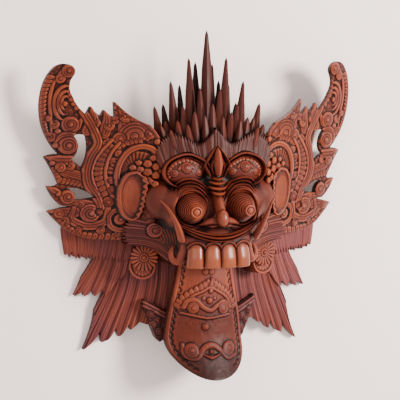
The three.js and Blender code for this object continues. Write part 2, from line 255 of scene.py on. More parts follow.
class Relief:
    """Heights in mm over a flat drawing, carved motif by motif."""

    def __init__(self, low, high, cell):
        self.low, self.cell = np.array(low, float), np.ones(2) * cell
        nx, ny = (int(round((high[k] - low[k]) / self.cell[k])) + 1 for k in (0, 1))
        xs = low[0] + self.cell[0] * np.arange(nx)
        ys = low[1] + self.cell[1] * np.arange(ny)
        self.x, self.y = np.meshgrid(xs, ys, indexing="ij")
        self.h = np.zeros(self.x.shape)
        self.all = (slice(None), slice(None))

    def window(self, low, high):
        nx, ny = self.x.shape
        i0, j0 = (max(0, int((low[k] - self.low[k]) / self.cell[k])) for k in (0, 1))
        i1 = min(nx, int((high[0] - self.low[0]) / self.cell[0]) + 2)
        j1 = min(ny, int((high[1] - self.low[1]) / self.cell[1]) + 2)
        return slice(i0, i1), slice(j0, j1)

    def lay(self, at, depth, top, cut=1.0, cut_width=1.4):
        """Sets a motif's top (mm) where depth is above zero, and cuts a groove just outside it."""
        ground = self.h[at]
        groove = cut * np.clip(1 + depth / cut_width, 0, 1)
        self.h[at] = np.where(depth > 0, top, ground - groove)

    def near(self, line, reach):
        """The grid near a line: its window, and each place's distance, share along, and side."""
        line = np.asarray(line)
        at = self.window(line.min(0) - reach, line.max(0) + reach)
        x, y = self.x[at], self.y[at]
        best = np.full(x.shape, 1e9)
        index = np.zeros(x.shape, int)
        for k, (px, py) in enumerate(line):
            d = (x - px) ** 2 + (y - py) ** 2
            closer = d < best
            best[closer] = d[closer]
            index[closer] = k
        tangent = np.gradient(line, axis=0)
        cross = tangent[index, 0] * (y - line[index, 1]) - tangent[index, 1] * (x - line[index, 0])
        return at, np.sqrt(best), index / (len(line) - 1), np.sign(cross)

    def bead(self, place, radius, level=1.5, rise=None, pit=0.0):
        rise = radius * 0.6 if rise is None else rise
        at = self.window(np.array(place) - radius - 2, np.array(place) + radius + 2)
        r = np.hypot(self.x[at] - place[0], self.y[at] - place[1])
        dome = np.sqrt(np.clip(1 - (r / radius) ** 2, 0, 1))
        top = level + rise * dome - pit * np.clip(1 - r / (0.45 * radius), 0, 1)
        self.lay(at, radius - r, top)

    def snail(self, place, radius, start=0.0, way=1, level=1.5, rise=2.5, pitch=3.3):
        """A scroll wound into a disc: a thin cut winds over a low dome, with an eye in the middle."""
        at = self.window(np.array(place) - radius - 2, np.array(place) + radius + 2)
        dx, dy = self.x[at] - place[0], self.y[at] - place[1]
        r = np.hypot(dx, dy)
        phase = (way * np.degrees(np.arctan2(dy, dx)) - start) / 360 + (radius - r) / pitch
        turn = np.abs(np.sin(np.pi * phase)) ** 0.5
        bowl = 0.8 + 0.2 * np.cos(np.pi * np.clip(r / radius, 0, 1))
        top = level + rise * (0.45 + 0.55 * turn) * bowl
        eye = np.clip(1 - (r / (0.24 * radius)) ** 2, 0, 1)
        top = np.where(r < 0.24 * radius, level + rise * (0.7 + 0.6 * np.sqrt(eye)), top)
        self.lay(at, radius - r, top, 1.5, 1.3)

    def plume(self, points, half_width, level=1.0, rise=3.0, lines=2, depth=0.9, cut=1.4, form=2.6):
        """A band or leaf along a line, with fine cuts that run its length. form 1 is a gable, 2 round, 4 flat."""
        line = smooth_line(points, 90)
        widest = half_width if np.isscalar(half_width) else max(half_width(t) for t in np.linspace(0, 1, 21))
        at, away, along, side = self.near(line, widest + 3)
        width = half_width if np.isscalar(half_width) else np.vectorize(half_width)(along)
        width = np.maximum(width, 0.15)
        share = np.clip(away / width, 0, 1)
        top = level + rise * np.clip(1 - share**form, 0, 1) ** (1 / form)
        for k in range(lines):
            middle = (2 * (k + 1) / (lines + 1) - 1) * width
            top -= depth * np.clip(1.15 - np.abs(away * side - middle) / 0.8, 0, 1)
        end = np.linalg.norm(line[-1] - line[-2])
        self.lay(at, np.where(away < widest + 2 * end, width - away, -9), top, cut)

    def groove(self, points, half_width, depth):
        """A V-shaped cut along a line."""
        line = smooth_line(points, 60)
        at, away, along, _ = self.near(line, half_width + 1)
        ends = np.clip(np.minimum(along, 1 - along) * 6, 0.2, 1)
        self.h[at] -= depth * ends * np.clip(1 - away / half_width, 0, 1)

    def lobes(self, points, count, size, level=1.5, rise=2.4, lean=0.5, turn=1, lines=1):
        """Leaf lobes in a row, each lying over the next, as along a leaf's edge."""
        line = smooth_line(points, 4 * count + 1)
        tangent = np.gradient(line, axis=0)
        tangent /= np.linalg.norm(tangent, axis=1)[:, None]
        step = np.linalg.norm(np.diff(line, axis=0), axis=1).sum() / count
        for k in range(count - 1, -1, -1):
            i = 4 * k + 2
            t = tangent[i]
            across = np.array([-t[1], t[0]]) * turn
            root = line[i] - 0.15 * size * across
            tip = line[i] + size * (across + lean * t)
            middle = 0.55 * root + 0.45 * tip - 0.16 * size * lean * t
            half = max(0.56 * step, 0.34 * size)
            self.plume([root, middle, tip], lambda s: half * math.sin(math.pi * min(1, 0.32 + 0.68 * s)) ** 0.7,
                       level, rise, lines, 0.7, 1.3)

    def foliage(self, spacing=6.5, rise=2.2, seed=0):
        """Fills the ground with small curled leaflets that touch each other."""
        x, y = self.x / spacing, self.y / spacing
        nearest = np.full(x.shape, 9.0)
        dx, dy = np.zeros(x.shape), np.zeros(x.shape)
        xi, yi = np.floor(x), np.floor(y)
        for i in (-1, 0, 1):
            for j in (-1, 0, 1):
                cx, cy = xi + i, yi + j
                px = cx + 0.2 + 0.6 * value_noise(cx, cy, seed + 1)
                py = cy + 0.2 + 0.6 * value_noise(cx, cy, seed + 2)
                d = np.hypot(x - px, y - py)
                closer = d < nearest
                nearest = np.where(closer, d, nearest)
                dx, dy = np.where(closer, x - px, dx), np.where(closer, y - py, dy)
        curl = np.abs(np.sin(np.arctan2(dy, dx) / 2 + nearest * 5.0)) ** 0.5
        self.h = rise * (1 - nearest**2) * (0.55 + 0.45 * curl)

    def eye(self, place, size, level=2.0, lean=0.0):
        """A curled leaf: two nested arcs that open one way, round a bead."""
        for reach, rise in ((size, 1.6), (0.62 * size, 2.0)):
            turn = lean + np.linspace(0.9, 2 * math.pi - 0.9, 9)
            arc = np.stack([place[0] + reach * 0.8 * np.cos(turn), place[1] + reach * 0.8 * np.sin(turn)], axis=1)
            self.plume(arc, taper(0.5, 0.2 * size, 0.5), level, rise, 0, cut=1.3)
        self.bead(place, 0.26 * size, level, 1.5)

    def fan(self, middle, inner, outer, first, last, count, level=1.5, rise=2.0, squash=1.0):
        """Ribs that spread from a middle, between two angles in degrees."""
        at = self.window(np.array(middle) - outer - 2, np.array(middle) + outer + 2)
        dx, dy = self.x[at] - middle[0], (self.y[at] - middle[1]) / squash
        r = np.hypot(dx, dy)
        angle = np.degrees(np.arctan2(dy, dx)) % 360
        share = (angle - first) / (last - first)
        rib = np.abs(np.sin(np.pi * count * share))
        top = level + rise * rib**0.55
        depth = np.minimum(np.minimum(outer - r, r - inner), np.minimum(share, 1 - share) * r)
        self.lay(at, depth, top, 0.6)

    def sample(self, field, x, y):
        """A field's value at any place of the drawing."""
        u = np.clip((x - self.low[0]) / self.cell[0], 0, self.x.shape[0] - 1.001)
        v = np.clip((y - self.low[1]) / self.cell[1], 0, self.x.shape[1] - 1.001)
        i, j = u.astype(int), v.astype(int)
        fu, fv = u - i, v - j
        low = field[i, j] * (1 - fu) + field[i + 1, j] * fu
        high = field[i, j + 1] * (1 - fu) + field[i + 1, j + 1] * fu
        return low * (1 - fv) + high * fv


print("relief tools ready")

# %% [markdown]
# Turning a relief into a piece: a grid is cut along the drawing's outline, its edge is drawn down to make the side,
# and the back is filled flat. The cut is exact, because the grid's height is first set to the distance from the
# outline, and a level plane through zero then cuts every cell where the outline crosses it.

# %% From relief to piece
STAIN_REACH = ((1.6, 0.9), (3.6, 6.0))  # mm looked at round a place, and the depth there that takes the full stain
BACK_STAIN = 0.2
TOOL_MARKS = 0.25  # mm, the shallow facets that a gouge leaves
SIDES = ((1, "right"), (-1, "left"))
pieces = []


def open_edges(form):
    return [e for e in form.edges if e.is_boundary]


def cut_below(form, height, near):
    """Cuts a form level and throws away what lies below."""
    everything = form.verts[:] + form.edges[:] + form.faces[:]
    bmesh.ops.bisect_plane(form, geom=everything, dist=near, plane_co=(0, 0, height), plane_no=(0, 0, 1),
                           clear_inner=True)


def grow_rim(form, rim):
    """Draws an open rim out into a new strip. Returns the strip's open edges and its new points."""
    grown = bmesh.ops.extrude_edge_only(form, edges=rim)["geom"]
    edges = [g for g in grown if isinstance(g, bmesh.types.BMEdge) and g.is_boundary]
    return edges, [g for g in grown if isinstance(g, bmesh.types.BMVert)]


def finish_piece(name, form, places, stain, sharp=50):
    """Writes the places (in drawing mm) and the stain, with any painted light and shade, of each vertex, and makes the
    object.
    """
    mesh = bpy.data.meshes.new(name)
    form.to_mesh(mesh)
    form.free()
    places = np.array(places, float)
    places[:, 1] += SHIFT_Y
    places[:, 2] = np.maximum(places[:, 2], 0)  # nothing goes below the wall that the mask lies on
    mesh.vertices.foreach_set("co", (places * MM).ravel())
    mesh.attributes.new("stain", "FLOAT", "POINT").data.foreach_set("value", np.asarray(stain, float))
    mesh.update()
    mesh.shade_smooth()
    mesh.set_sharp_from_angle(angle=math.radians(sharp))
    piece = bpy.data.objects.new(name, mesh)
    bpy.context.collection.objects.link(piece)
    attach(piece, "root")
    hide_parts("carved_mask")
    pieces.append(piece)
    print(f"{name}: {sum(len(p.vertices) - 2 for p in mesh.polygons)} triangles")
    return piece


def carve(name, relief, depth, place, back, side=1, edge=2.0, tone=0.0, worn=0.8, settled=0.6):
    """
    Makes a piece from a relief.

    place(x, y, h) gives a place of its face, back(x, y) its underside, and edge how far the rim is rounded. The stain
    is tone (a number, or tone(x, y)), which on some pieces is painted light or shade, plus settled in the cuts, less up
    to worn of that on the high places.
    """
    nx, ny = relief.x.shape
    form = bmesh.new()
    bmesh.ops.create_grid(form, x_segments=nx - 1, y_segments=ny - 1, size=1)
    form.verts.ensure_lookup_table()
    unit = np.array([v.co[:2] for v in form.verts])
    i = np.rint((unit[:, 0] + 1) / 2 * (nx - 1)).astype(int)
    j = np.rint((unit[:, 1] + 1) / 2 * (ny - 1)).astype(int)
    for v, x, y, d in zip(form.verts, relief.x[i, j], relief.y[i, j], depth[i, j]):
        v.co = (x, y, d)
    cut_below(form, 0, 1e-5)
    for v in form.verts:
        v.co.z = 0
    bmesh.ops.remove_doubles(form, verts=form.verts[:], dist=0.12)
    lower_edges, lower = grow_rim(form, open_edges(form))
    bmesh.ops.triangle_fill(form, use_beauty=True, edges=lower_edges, normal=(0, 0, -1))
    for v in lower:
        v.co.z = -1
    bmesh.ops.recalc_face_normals(form, faces=form.faces[:])
    if side < 0:
        bmesh.ops.reverse_faces(form, faces=form.faces[:])
    flat = np.array([v.co for v in form.verts])
    x, y = flat[:, 0], flat[:, 1]
    is_back = flat[:, 2] < -0.5
    u, v = relief.x, relief.y
    marks = value_noise(u / 5.2, v / 5.2, 8) + 0.5 * value_noise(u / 2.3, v / 2.3, 9)
    rounding = 1 - np.exp(-np.clip(depth, 0, None) / edge)
    heights = blurred(relief.h, (1, 1)) + TOOL_MARKS * (marks - 0.75) - edge * 0.6 * (1 - rounding)
    low = sum(np.clip((blurred(relief.h, reach / relief.cell) - relief.h) / full, -worn, 1)
              for reach, full in STAIN_REACH)
    stain = relief.sample(settled * low, x, y) + (tone(x, y) if callable(tone) else tone)
    face = np.stack(place(x, y, relief.sample(heights, x, y)), axis=1)
    places = np.where(is_back[:, None], np.stack(back(x, y), axis=1), face)
    places[:, 0] *= side
    return finish_piece(name, form, places, np.where(is_back, BACK_STAIN, stain))


print("a relief can be made a piece")

# %% [markdown]
# Each wing is a board swept back from the temple, with a horn that curls up, leaves along its outer edge and two
# gaps that go through. It is drawn flat as its right side, and the left wing is the same drawing mirrored.

# %% Wings
WING_THICKNESS = 15.0
EAR_CUP = (114.5, 12)


def wing_level(x, y):
    return 76 - 0.55 * (np.abs(x) - 110) + 0.24 * (y + 20)


def wing_outline():
    board = trace(
        (60, -52), (158, -52), (184, -48, 195, -37), (206, -26, 217, -13), (200, -8, 186, -5), (199, -4),
        (212, 6, 219, 24), (208, 22, 204, 27), (208, 40, 224, 66), (214, 71, 205, 70), (212, 78),
        (232, 104, 232.5, 140), (232, 176, 216, 193), (206, 201, 196, 196), (187, 190, 191, 182),
        (202, 166, 192, 152), (188, 140, 174, 126), (168, 139), (162, 128, 155, 126), (151, 134),
        (144, 125, 137, 124), (139, 146), (120, 122, 92, 113), (78, 94), (60, 84),
    )
    upper_gap = trace((189, 97), (180, 101, 172, 97), (165, 74, 175, 51), (182, 58, 191, 63), (182, 68, 182, 80),
                      (183, 90, 189, 97))
    lower_gap = trace((193, 22), (176, 25, 155, 9), (168, 6, 182, 4), (180, 15, 193, 22))
    return [board, upper_gap, lower_gap]


def carve_wing_relief():
    r = Relief((58, -54), (235, 201), 0.75)
    depth = inside_distance(r.x, r.y, wing_outline())
    r.foliage()
    # horn
    r.plume([(217, 102), (219, 126), (221, 150), (217, 172), (208, 188)], taper(1.5, 2.6, 2.6, 1.5), 2.0, 2.6, 0)
    r.lobes([(219, 88), (227, 104), (230, 122), (231, 142), (229, 162), (221, 182)], 17, 6.0, 2.2, 2.4, 0.6, 1)
    for reach, half in ((20, 2.5), (13.8, 2.5), (8, 2.1)):
        turn = np.radians(np.linspace(-95, 130, 9))
        arc = np.stack([201 + 0.74 * reach * np.cos(turn), 143 + 1.2 * reach * np.sin(turn)], axis=1)
        r.plume(arc, taper(0.5, half, half, half, 0.5), 3.2, 2.6, 1, 0.8, 1.8)
    r.bead((202, 142), 3.6, 3.4, 2.8)
    r.snail((209, 177), 6.5, 0, 1, 3.6, 2.4)
    r.snail((199, 188), 9, 200, 1, 3.4, 3)
    r.lobes([(194, 172), (194, 152), (184, 134)], 6, 6.5, 2, 2.2, 0.4, -1)
    r.plume([(226, 100), (212, 97), (200, 99), (186, 108), (180, 120)], taper(2, 5, 5, 2.5), 2.5, 2.6, 3)
    r.snail((194, 113), 11.5, 250, 1, 3.2, 3.6, 3.6)
    r.eye((214, 113), 7, 3.2, 0.4)
    r.bead((222, 121), 4.6, 2.8, 2.4)
    r.eye((217, 95), 7, 3, 0.9)
    r.bead((209, 103), 3.8, 3, 2.2)
    r.plume([(212, 86), (206, 96), (194, 99), (184, 92), (183, 80)], taper(1.5, 4, 4, 2), 3, 2.4, 1)
    r.snail((196, 83), 12.5, 120, 1, 3.6, 4.0, 3.8)
    r.bead((211, 83), 4, 2.6, 2.6)
    # leaf one
    r.plume([(160, 22), (176, 37), (194, 43), (212, 50)], taper(4, 8, 7, 2.5), 1.6, 2.8, 4)
    r.lobes([(168, 27), (186, 32), (206, 34)], 7, 6.5, 1.5, 2.2, 0.5, -1)
    r.plume([(192, 62), (208, 62), (223, 66.5)], taper(7, 7.5, 0.6), 2.2, 2.8, 2)
    r.snail((204, 52), 7, 200, 1, 3.8, 2.8)
    r.eye((192, 54), 7, 3.2, 0.3)
    r.lobes([(205, 36), (212, 48)], 3, 6.5, 2, 2.2, 0.5, -1)
    r.bead((214, 58), 3.4, 3.6, 2)
    # leaf two
    r.plume([(150, -4), (170, -1), (190, -2), (206, 8), (218, 23)], taper(5, 7, 7, 1.2), 1.8, 2.6, 3)
    r.lobes([(200, -2), (210, 6), (217, 16)], 4, 6, 2, 2.2, 0.5, 1)
    r.plume([(200, 12), (210, 18), (218, 23)], taper(3, 5, 1), 2.8, 2.4, 1)
    r.snail((193, 9), 10, 60, -1, 3.6, 3.6)
    r.bead((205, 13), 3.2, 4.4, 2)
    r.eye((176, -2), 6.5, 3.2, 0.1)
    # leaf three
    r.lobes([(112, -46), (134, -47), (158, -47), (178, -44), (194, -33), (211, -19)], 15, 7.5, 1.8, 2.4, 0.4, -1)
    r.plume([(182, -13), (198, -12.5), (216, -13.5)], taper(8, 7, 0.8), 2.2, 2.6, 2)
    r.snail((203, -16), 6.5, 0, 1, 3.6, 2.4)
    r.plume([(140, -4), (144, -26), (166, -33), (186, -24), (184, -6)], taper(3.5, 6, 6, 2.5), 2.8, 2.8, 2)
    r.snail((163, -14), 13, 200, -1, 3.6, 4.0, 3.8)
    r.eye((194, -26), 7, 3, -0.6)
    r.eye((178, -38), 6.5, 2.8, -0.1)
    r.snail((148, -38), 6, 90, 1, 3, 2.4)
    r.eye((128, -42), 6.5, 2.8, 0)
    # crest leaves
    for points, half in (
        ([(172, 104), (165, 120), (168, 139)], 8.5), ([(150, 100), (147, 118), (151, 134)], 8.5),
        ([(118, 94), (124, 116), (139, 146)], 13),
    ):
        r.plume(points, taper(half * 0.8, half, half * 0.62, 0.5), 1.8, 2.8, 3)
    for place, size in (((163, 116), 7.5), ((145, 112), 7.5), ((126, 125), 8)):
        r.eye(place, size, 4, 1.2)
    r.lobes([(100, 112), (116, 122), (134, 141)], 7, 5.5, 2.4, 2.2, 0.4, 1)
    r.lobes([(141, 141), (138, 126), (136, 116)], 4, 5, 2.4, 2.2, 0.4, 1)
    # nested shell under the crest
    for k, reach in enumerate((17.5, 13, 8.5)):
        turn = np.radians(np.linspace(195, -25, 9))
        arc = np.stack([113 + reach * np.cos(turn), 98 + 0.95 * reach * np.sin(turn)], axis=1)
        r.plume(arc, 2.7, 2.6 + 0.5 * k, 2.0, 1, 0.7)
    r.snail((113, 97), 5.5, 0, 1, 3.6, 2.2)
    r.snail((93, 101), 7.5, 45, 1, 2.6, 2.6)
    r.plume([(74, 92), (84, 99), (96, 112), (104, 118)], 3.4, 1.8, 2.2, 2)
    r.bead((83, 90), 4.5, 2.6, 2.6)
    r.snail((131, 94), 8.5, 300, -1, 3, 2.6)
    r.eye((149, 90), 7, 2.8, 1.2)
    r.lobes([(102, 91), (118, 89), (134, 80)], 6, 5.5, 2.4, 2.0, 0.4, 1)
    # a leaf row between the band and the fan, with a double band round it
    outer = [(178, 131), (165, 107), (158, 87), (166.5, 68), (171, 47), (168, 28), (156, 10), (150, -6)]
    inner = [(140, 92), (153, 76), (161, 61), (164, 44), (160, 27), (150, 8)]
    r.lobes([(137, 84), (146, 72), (152, 58), (154, 44), (150, 28), (143, 12)], 11, 9, 2.2, 2.4, 0.35, 1, 2)
    r.plume([(131, 88), (140, 74), (145, 58), (146, 42), (142, 26), (135, 10)], 2.4, 3.2, 2.2, 0)
    r.plume(inner, 2.3, 3.0, 2.4, 0)
    r.plume(outer, 5.6, 2.4, 3.2, 2, 1.1)
    for place, size, start, way in [
        ((140, 3), 7.5, 0, 1), ((152, -12), 6, 200, 1), ((137, 20), 6, 90, -1), ((139, 34), 5.5, 200, -1),
        ((139, 48), 5.5, 0, 1), ((137, 61), 5.5, 60, 1), ((131, 73), 5, 0, -1),
    ]:
        r.snail(place, size, start, way, 2.2, 2.4, 3.0)
    # fan over the ear, inside its arch
    r.fan((108, 40), 14, 36, 6, 158, 17, 2.0, 2.0)
    arch = [(126, 20), (131.5, 36), (130, 56), (120, 75), (104, 83), (90, 80), (80, 70)]
    r.plume(arch, 3.9, 3.6, 3.2, 1, 1.1)
    # knob and curved band below the ear
    r.plume([(110, -24), (124, -8), (138, -16), (136, -32), (122, -38), (108, -34)], 3.6, 3, 2.4, 1)
    r.snail((124, -22), 8, 90, 1, 3.6, 3.2)
    # temple blossoms
    for place, size in [
        ((88, 67), 4.8), ((104, 50), 5.2), ((95, 59), 5.6), ((95, 47), 5.8), ((84, 55), 5.6), ((93, 35), 5.6),
        ((84, 43), 5.8), ((102, 38), 4.4), ((85, 31), 5.0), ((77, 62), 4.6), ((113, 53), 4.4), ((106, 60), 4.2),
        ((76, 49), 5.0),
    ]:
        at = r.window(np.array(place) - size - 2, np.array(place) + size + 2)
        dx, dy = r.x[at] - place[0], r.y[at] - place[1]
        away, angle = np.hypot(dx, dy), np.arctan2(dy, dx)
        petals = np.abs(np.cos(2.5 * angle + place[0])) ** 0.5
        r.lay(at, size * (0.8 + 0.2 * petals) - away,
              6.5 + size * (0.3 + 0.3 * petals) * np.sqrt(np.clip(1 - (away / size) ** 2, 0, 1)), 2.0, 1.6)
        r.bead(place, size * 0.3, 6.5 + size * 0.56, 1.2)
    # ear: a wide shallow cup with a thin double rim
    bean = [(110, 47), (121, 43), (129, 28), (130, 6), (124, -14), (113, -22), (104, -17), (101, -6), (99, 8),
            (97, 24), (99, 38), (110, 47)]
    cup = inside_distance(r.x, r.y, [smooth_line(bean, 120)])
    at = r.window((90, -30), (140, 56))
    lean = np.clip((r.x[at] - 98) / 34, 0, 1)
    hollow = 9.4 - 2.8 * np.sin(math.pi / 2 * np.clip(cup[at] / 14, 0, 1)) + 2.0 * lean
    r.lay(at, cup[at], hollow, 1.5, 2)
    r.plume(bean, 1.7, 8.8, 3.4, 0, cut=0)
    r.plume([(112, 40), (120, 36), (124, 24), (124.5, 4), (119, -10), (111, -16)], taper(0.6, 1.1, 1.2, 1.1, 0.6), 6.8,
            2.4, 0, cut=0.6)
    chain = smooth_line([(100, 40), (97.5, 28), (98.5, 16), (99.5, 4), (101, -6), (105, -18)], 15)
    chain = [place + (1.9 if k % 2 else -1.9, 0) for k, place in enumerate(chain)]
    r.plume(chain, 1.5, 11.0, 2.2, 0, cut=2.4, form=1.5)
    return r, depth


wing_relief, wing_depth = carve_wing_relief()


def wing_sunk(x):
    """How far the wing's root is sunk, so that it runs under the brow and the fringe."""
    return 16 * (1 - smooth_step(70, 84, x))


def wing_place(x, y, h):
    lifted = 6 * (1 - smooth_step(86, 104, x)) * (1 - smooth_step(20, 60, np.abs(y - 5)))
    return x - 0.25 * h, y, wing_level(x, y) - 5 + h + lifted - wing_sunk(x)


def wing_back(x, y):
    return x, y, wing_level(x, y) - WING_THICKNESS - wing_sunk(x)


def ear_cup_painted_light(x, y):
    """Painted light: the cup of the ear is made lighter than the leaves round it, to lift the shade that falls in its
    hollow.
    """
    return -0.45 * (1 - smooth_step(0.7, 1.0, np.hypot((x - EAR_CUP[0]) / 14, (y - EAR_CUP[1]) / 31)))


# the cup of each ear gets painted light
for side, end in SIDES:
    carve("wing_" + end, wing_relief, wing_depth, wing_place, wing_back, side, tone=ear_cup_painted_light)

# %% [markdown]
# The hair hangs in tiers behind the face, combed downwards and outwards, with pointed locks at the lower edge.
# Combed strokes could be cut into a plain grid, but slanting strokes come out as steps on it. So the grid itself is
# combed: its columns run along the strokes, and every stroke gets the same four columns.

# %% Combing


def combed(lines, pitch, row, samples=4):
    """A relief whose columns follow lines that fan out. Its own x and y are mm across and along the strokes."""
    table = np.array([smooth_line(line, 61) for line in lines])
    middle = table[:, 30]
    width = np.linalg.norm(np.diff(middle, axis=0), axis=1).sum()
    length = np.linalg.norm(np.diff(table[len(lines) // 2], axis=0), axis=1).sum()
    r = Relief((0, 0), (width, length), (pitch / samples, row))
    nu, nv = r.x.shape
    spread = np.array([smooth_line(table[:, k], nu) for k in range(61)]).transpose(1, 0, 2)
    at = np.linspace(0, 60, nv)
    i = np.minimum(at.astype(int), 59)
    f = (at - i)[None, :, None]
    flow = spread[:, i] * (1 - f) + spread[:, i + 1] * f
    r.across, r.down = flow[..., 0], flow[..., 1]
    return r


def strokes(r, pitch, deep, lock, swell, seed):
    """Fine V-cuts along the columns, over locks that swell and fall away from each other."""
    phase = r.x / pitch + 0.9 * value_noise(r.x / 16, r.y / 70, seed)
    number = np.floor(phase)
    own = value_noise(number * 1.7, r.y / 60, seed + 3)
    cut = np.abs(np.sin(np.pi * phase)) ** 0.6
    share = np.abs(np.sin(np.pi * (r.x / lock + 0.5 * value_noise(r.x / 40, r.y / 60, seed + 5))))
    r.h += deep * cut * (0.35 + 1.0 * own) + swell * share**0.5 + 0.8 * own


def carve_combed(name, r, outline, level, thickness, side, edge=1.6, tone=0.0, settled=0.45):
    """Makes a piece from combed relief. The outline is drawn in the mask's own x and y."""
    depth = inside_distance(r.across, r.down, [outline])

    def at_level(u, v, lift):
        x, y = r.sample(r.across, u, v), r.sample(r.down, u, v)
        return x, y, level(x, y) + lift

    return carve(name, r, depth, at_level, lambda u, v: at_level(u, v, -thickness), side, edge, tone, settled=settled)


def saw_teeth(line, middle, out, back):
    """Moves every second place of a line away from a middle, and the others towards it."""
    teeth = []
    for k, place in enumerate(line):
        away = place - np.array(middle)
        teeth.append(place + away / np.linalg.norm(away) * (out if k % 2 else back))
    return teeth


print("hair can be combed")

# %% [markdown]
# Three tiers a side. The lowest is the longest, and each one above covers its roots.

# %% Hair
HAIR_THICKNESS = 11.0


def hair_level(lift):
    return lambda x, y: 42 - 0.33 * (np.abs(x) - 70) + lift


def make_hair(side, end):
    low = combed(
        [[(12, -58), (14, -110), (16, -172)], [(52, -58), (52, -120), (64, -182)],
         [(84, -58), (86, -120), (106, -194)], [(104, -58), (113, -122), (148, -210)],
         [(112, -56), (127, -114), (180, -228)]], 2.9, 3.0)
    strokes(low, 2.9, 1.2, 13, 2.2, 1)
    outline = trace((11, -59), (110, -59), (126, -90, 139, -135), (147, -150, 148, -166), (151, -190, 166, -219),
                    (148, -206, 140, -190), (140, -200, 138, -211), (124, -198, 118, -184), (118, -192, 115, -200),
                    (106, -190, 101, -178), (101, -183, 99, -188), (92, -183, 86, -176), (76, -180), (60, -172),
                    (30, -170), (11, -168))
    carve_combed("hair_low_" + end, low, outline, hair_level(-4), HAIR_THICKNESS, side, tone=-0.2)
    middle = combed(
        [[(88, -42), (90, -90), (96, -132)], [(108, -42), (106, -88), (122, -144)],
         [(130, -42), (130, -86), (154, -144)], [(148, -42), (150, -84), (190, -146)]], 2.7, 3.0)
    strokes(middle, 2.7, 1.1, 12, 2.0, 7)
    outline = trace((89, -43), (149, -43), (156, -70, 158, -88), (165, -114, 178, -138), (170, -136, 165, -130),
                    (164, -134, 163, -138), (156, -136, 152, -128), (151, -132, 149, -138), (142, -134, 138, -127),
                    (137, -131, 134, -137), (126, -128, 118, -116), (110, -112, 104, -100), (96, -96, 89, -98))
    carve_combed("hair_middle_" + end, middle, outline, hair_level(0), HAIR_THICKNESS, side, tone=-0.36)
    top = combed(
        [[(84, -32), (86, -70), (90, -104)], [(122, -32), (124, -62), (130, -92)],
         [(158, -32), (160, -58), (162, -90)], [(196, -30), (193, -55), (188, -86)]], 2.6, 2.6)
    strokes(top, 2.6, 1.1, 11, 1.0, 13)
    ends = [(195, -45), (194, -58), (189, -79)]
    for k, x in enumerate(np.arange(185, 92, -4.6)):
        low_end = -84 + 0.10 * (x - 140) + 1.5 * math.sin(2.1 * k)
        ends += [(x, low_end + 6.5), (x - 2.6, low_end - 2.5)]
    outline = np.array([(85, -33), (193, -31)] + ends + [(86, -84)])
    carve_combed("hair_top_" + end, top, outline, hair_level(3.4), HAIR_THICKNESS, side, tone=-0.4)


for side, end in SIDES:
    make_hair(side, end)

# %% [markdown]
# The tongue hangs out over the chin as a long board, widens, and ends round. A raised border runs down both edges, a
# flame of leaf points stands in the middle with two scrolls in it, and a pair of scrolls fills the round end.

# %% Tongue
TONGUE_THICKNESS = 12.0


def tongue_half(y):
    y = np.asarray(y, float)
    round_end = 57.5 * np.sqrt(np.clip(1 - ((-203 - y) / 51.5) ** 2, 0, 1))
    return np.where(y > -203, 39 + 18.5 * smooth_step(70, 203, -y), round_end)


def tongue_lean(y):
    return 11 * smooth_step(190, 255, -np.asarray(y, float))


def tongue_level(x, y):
    return 84.5 + 0.0045 * np.maximum(0, -y - 185) ** 2 - 0.006 * x**2


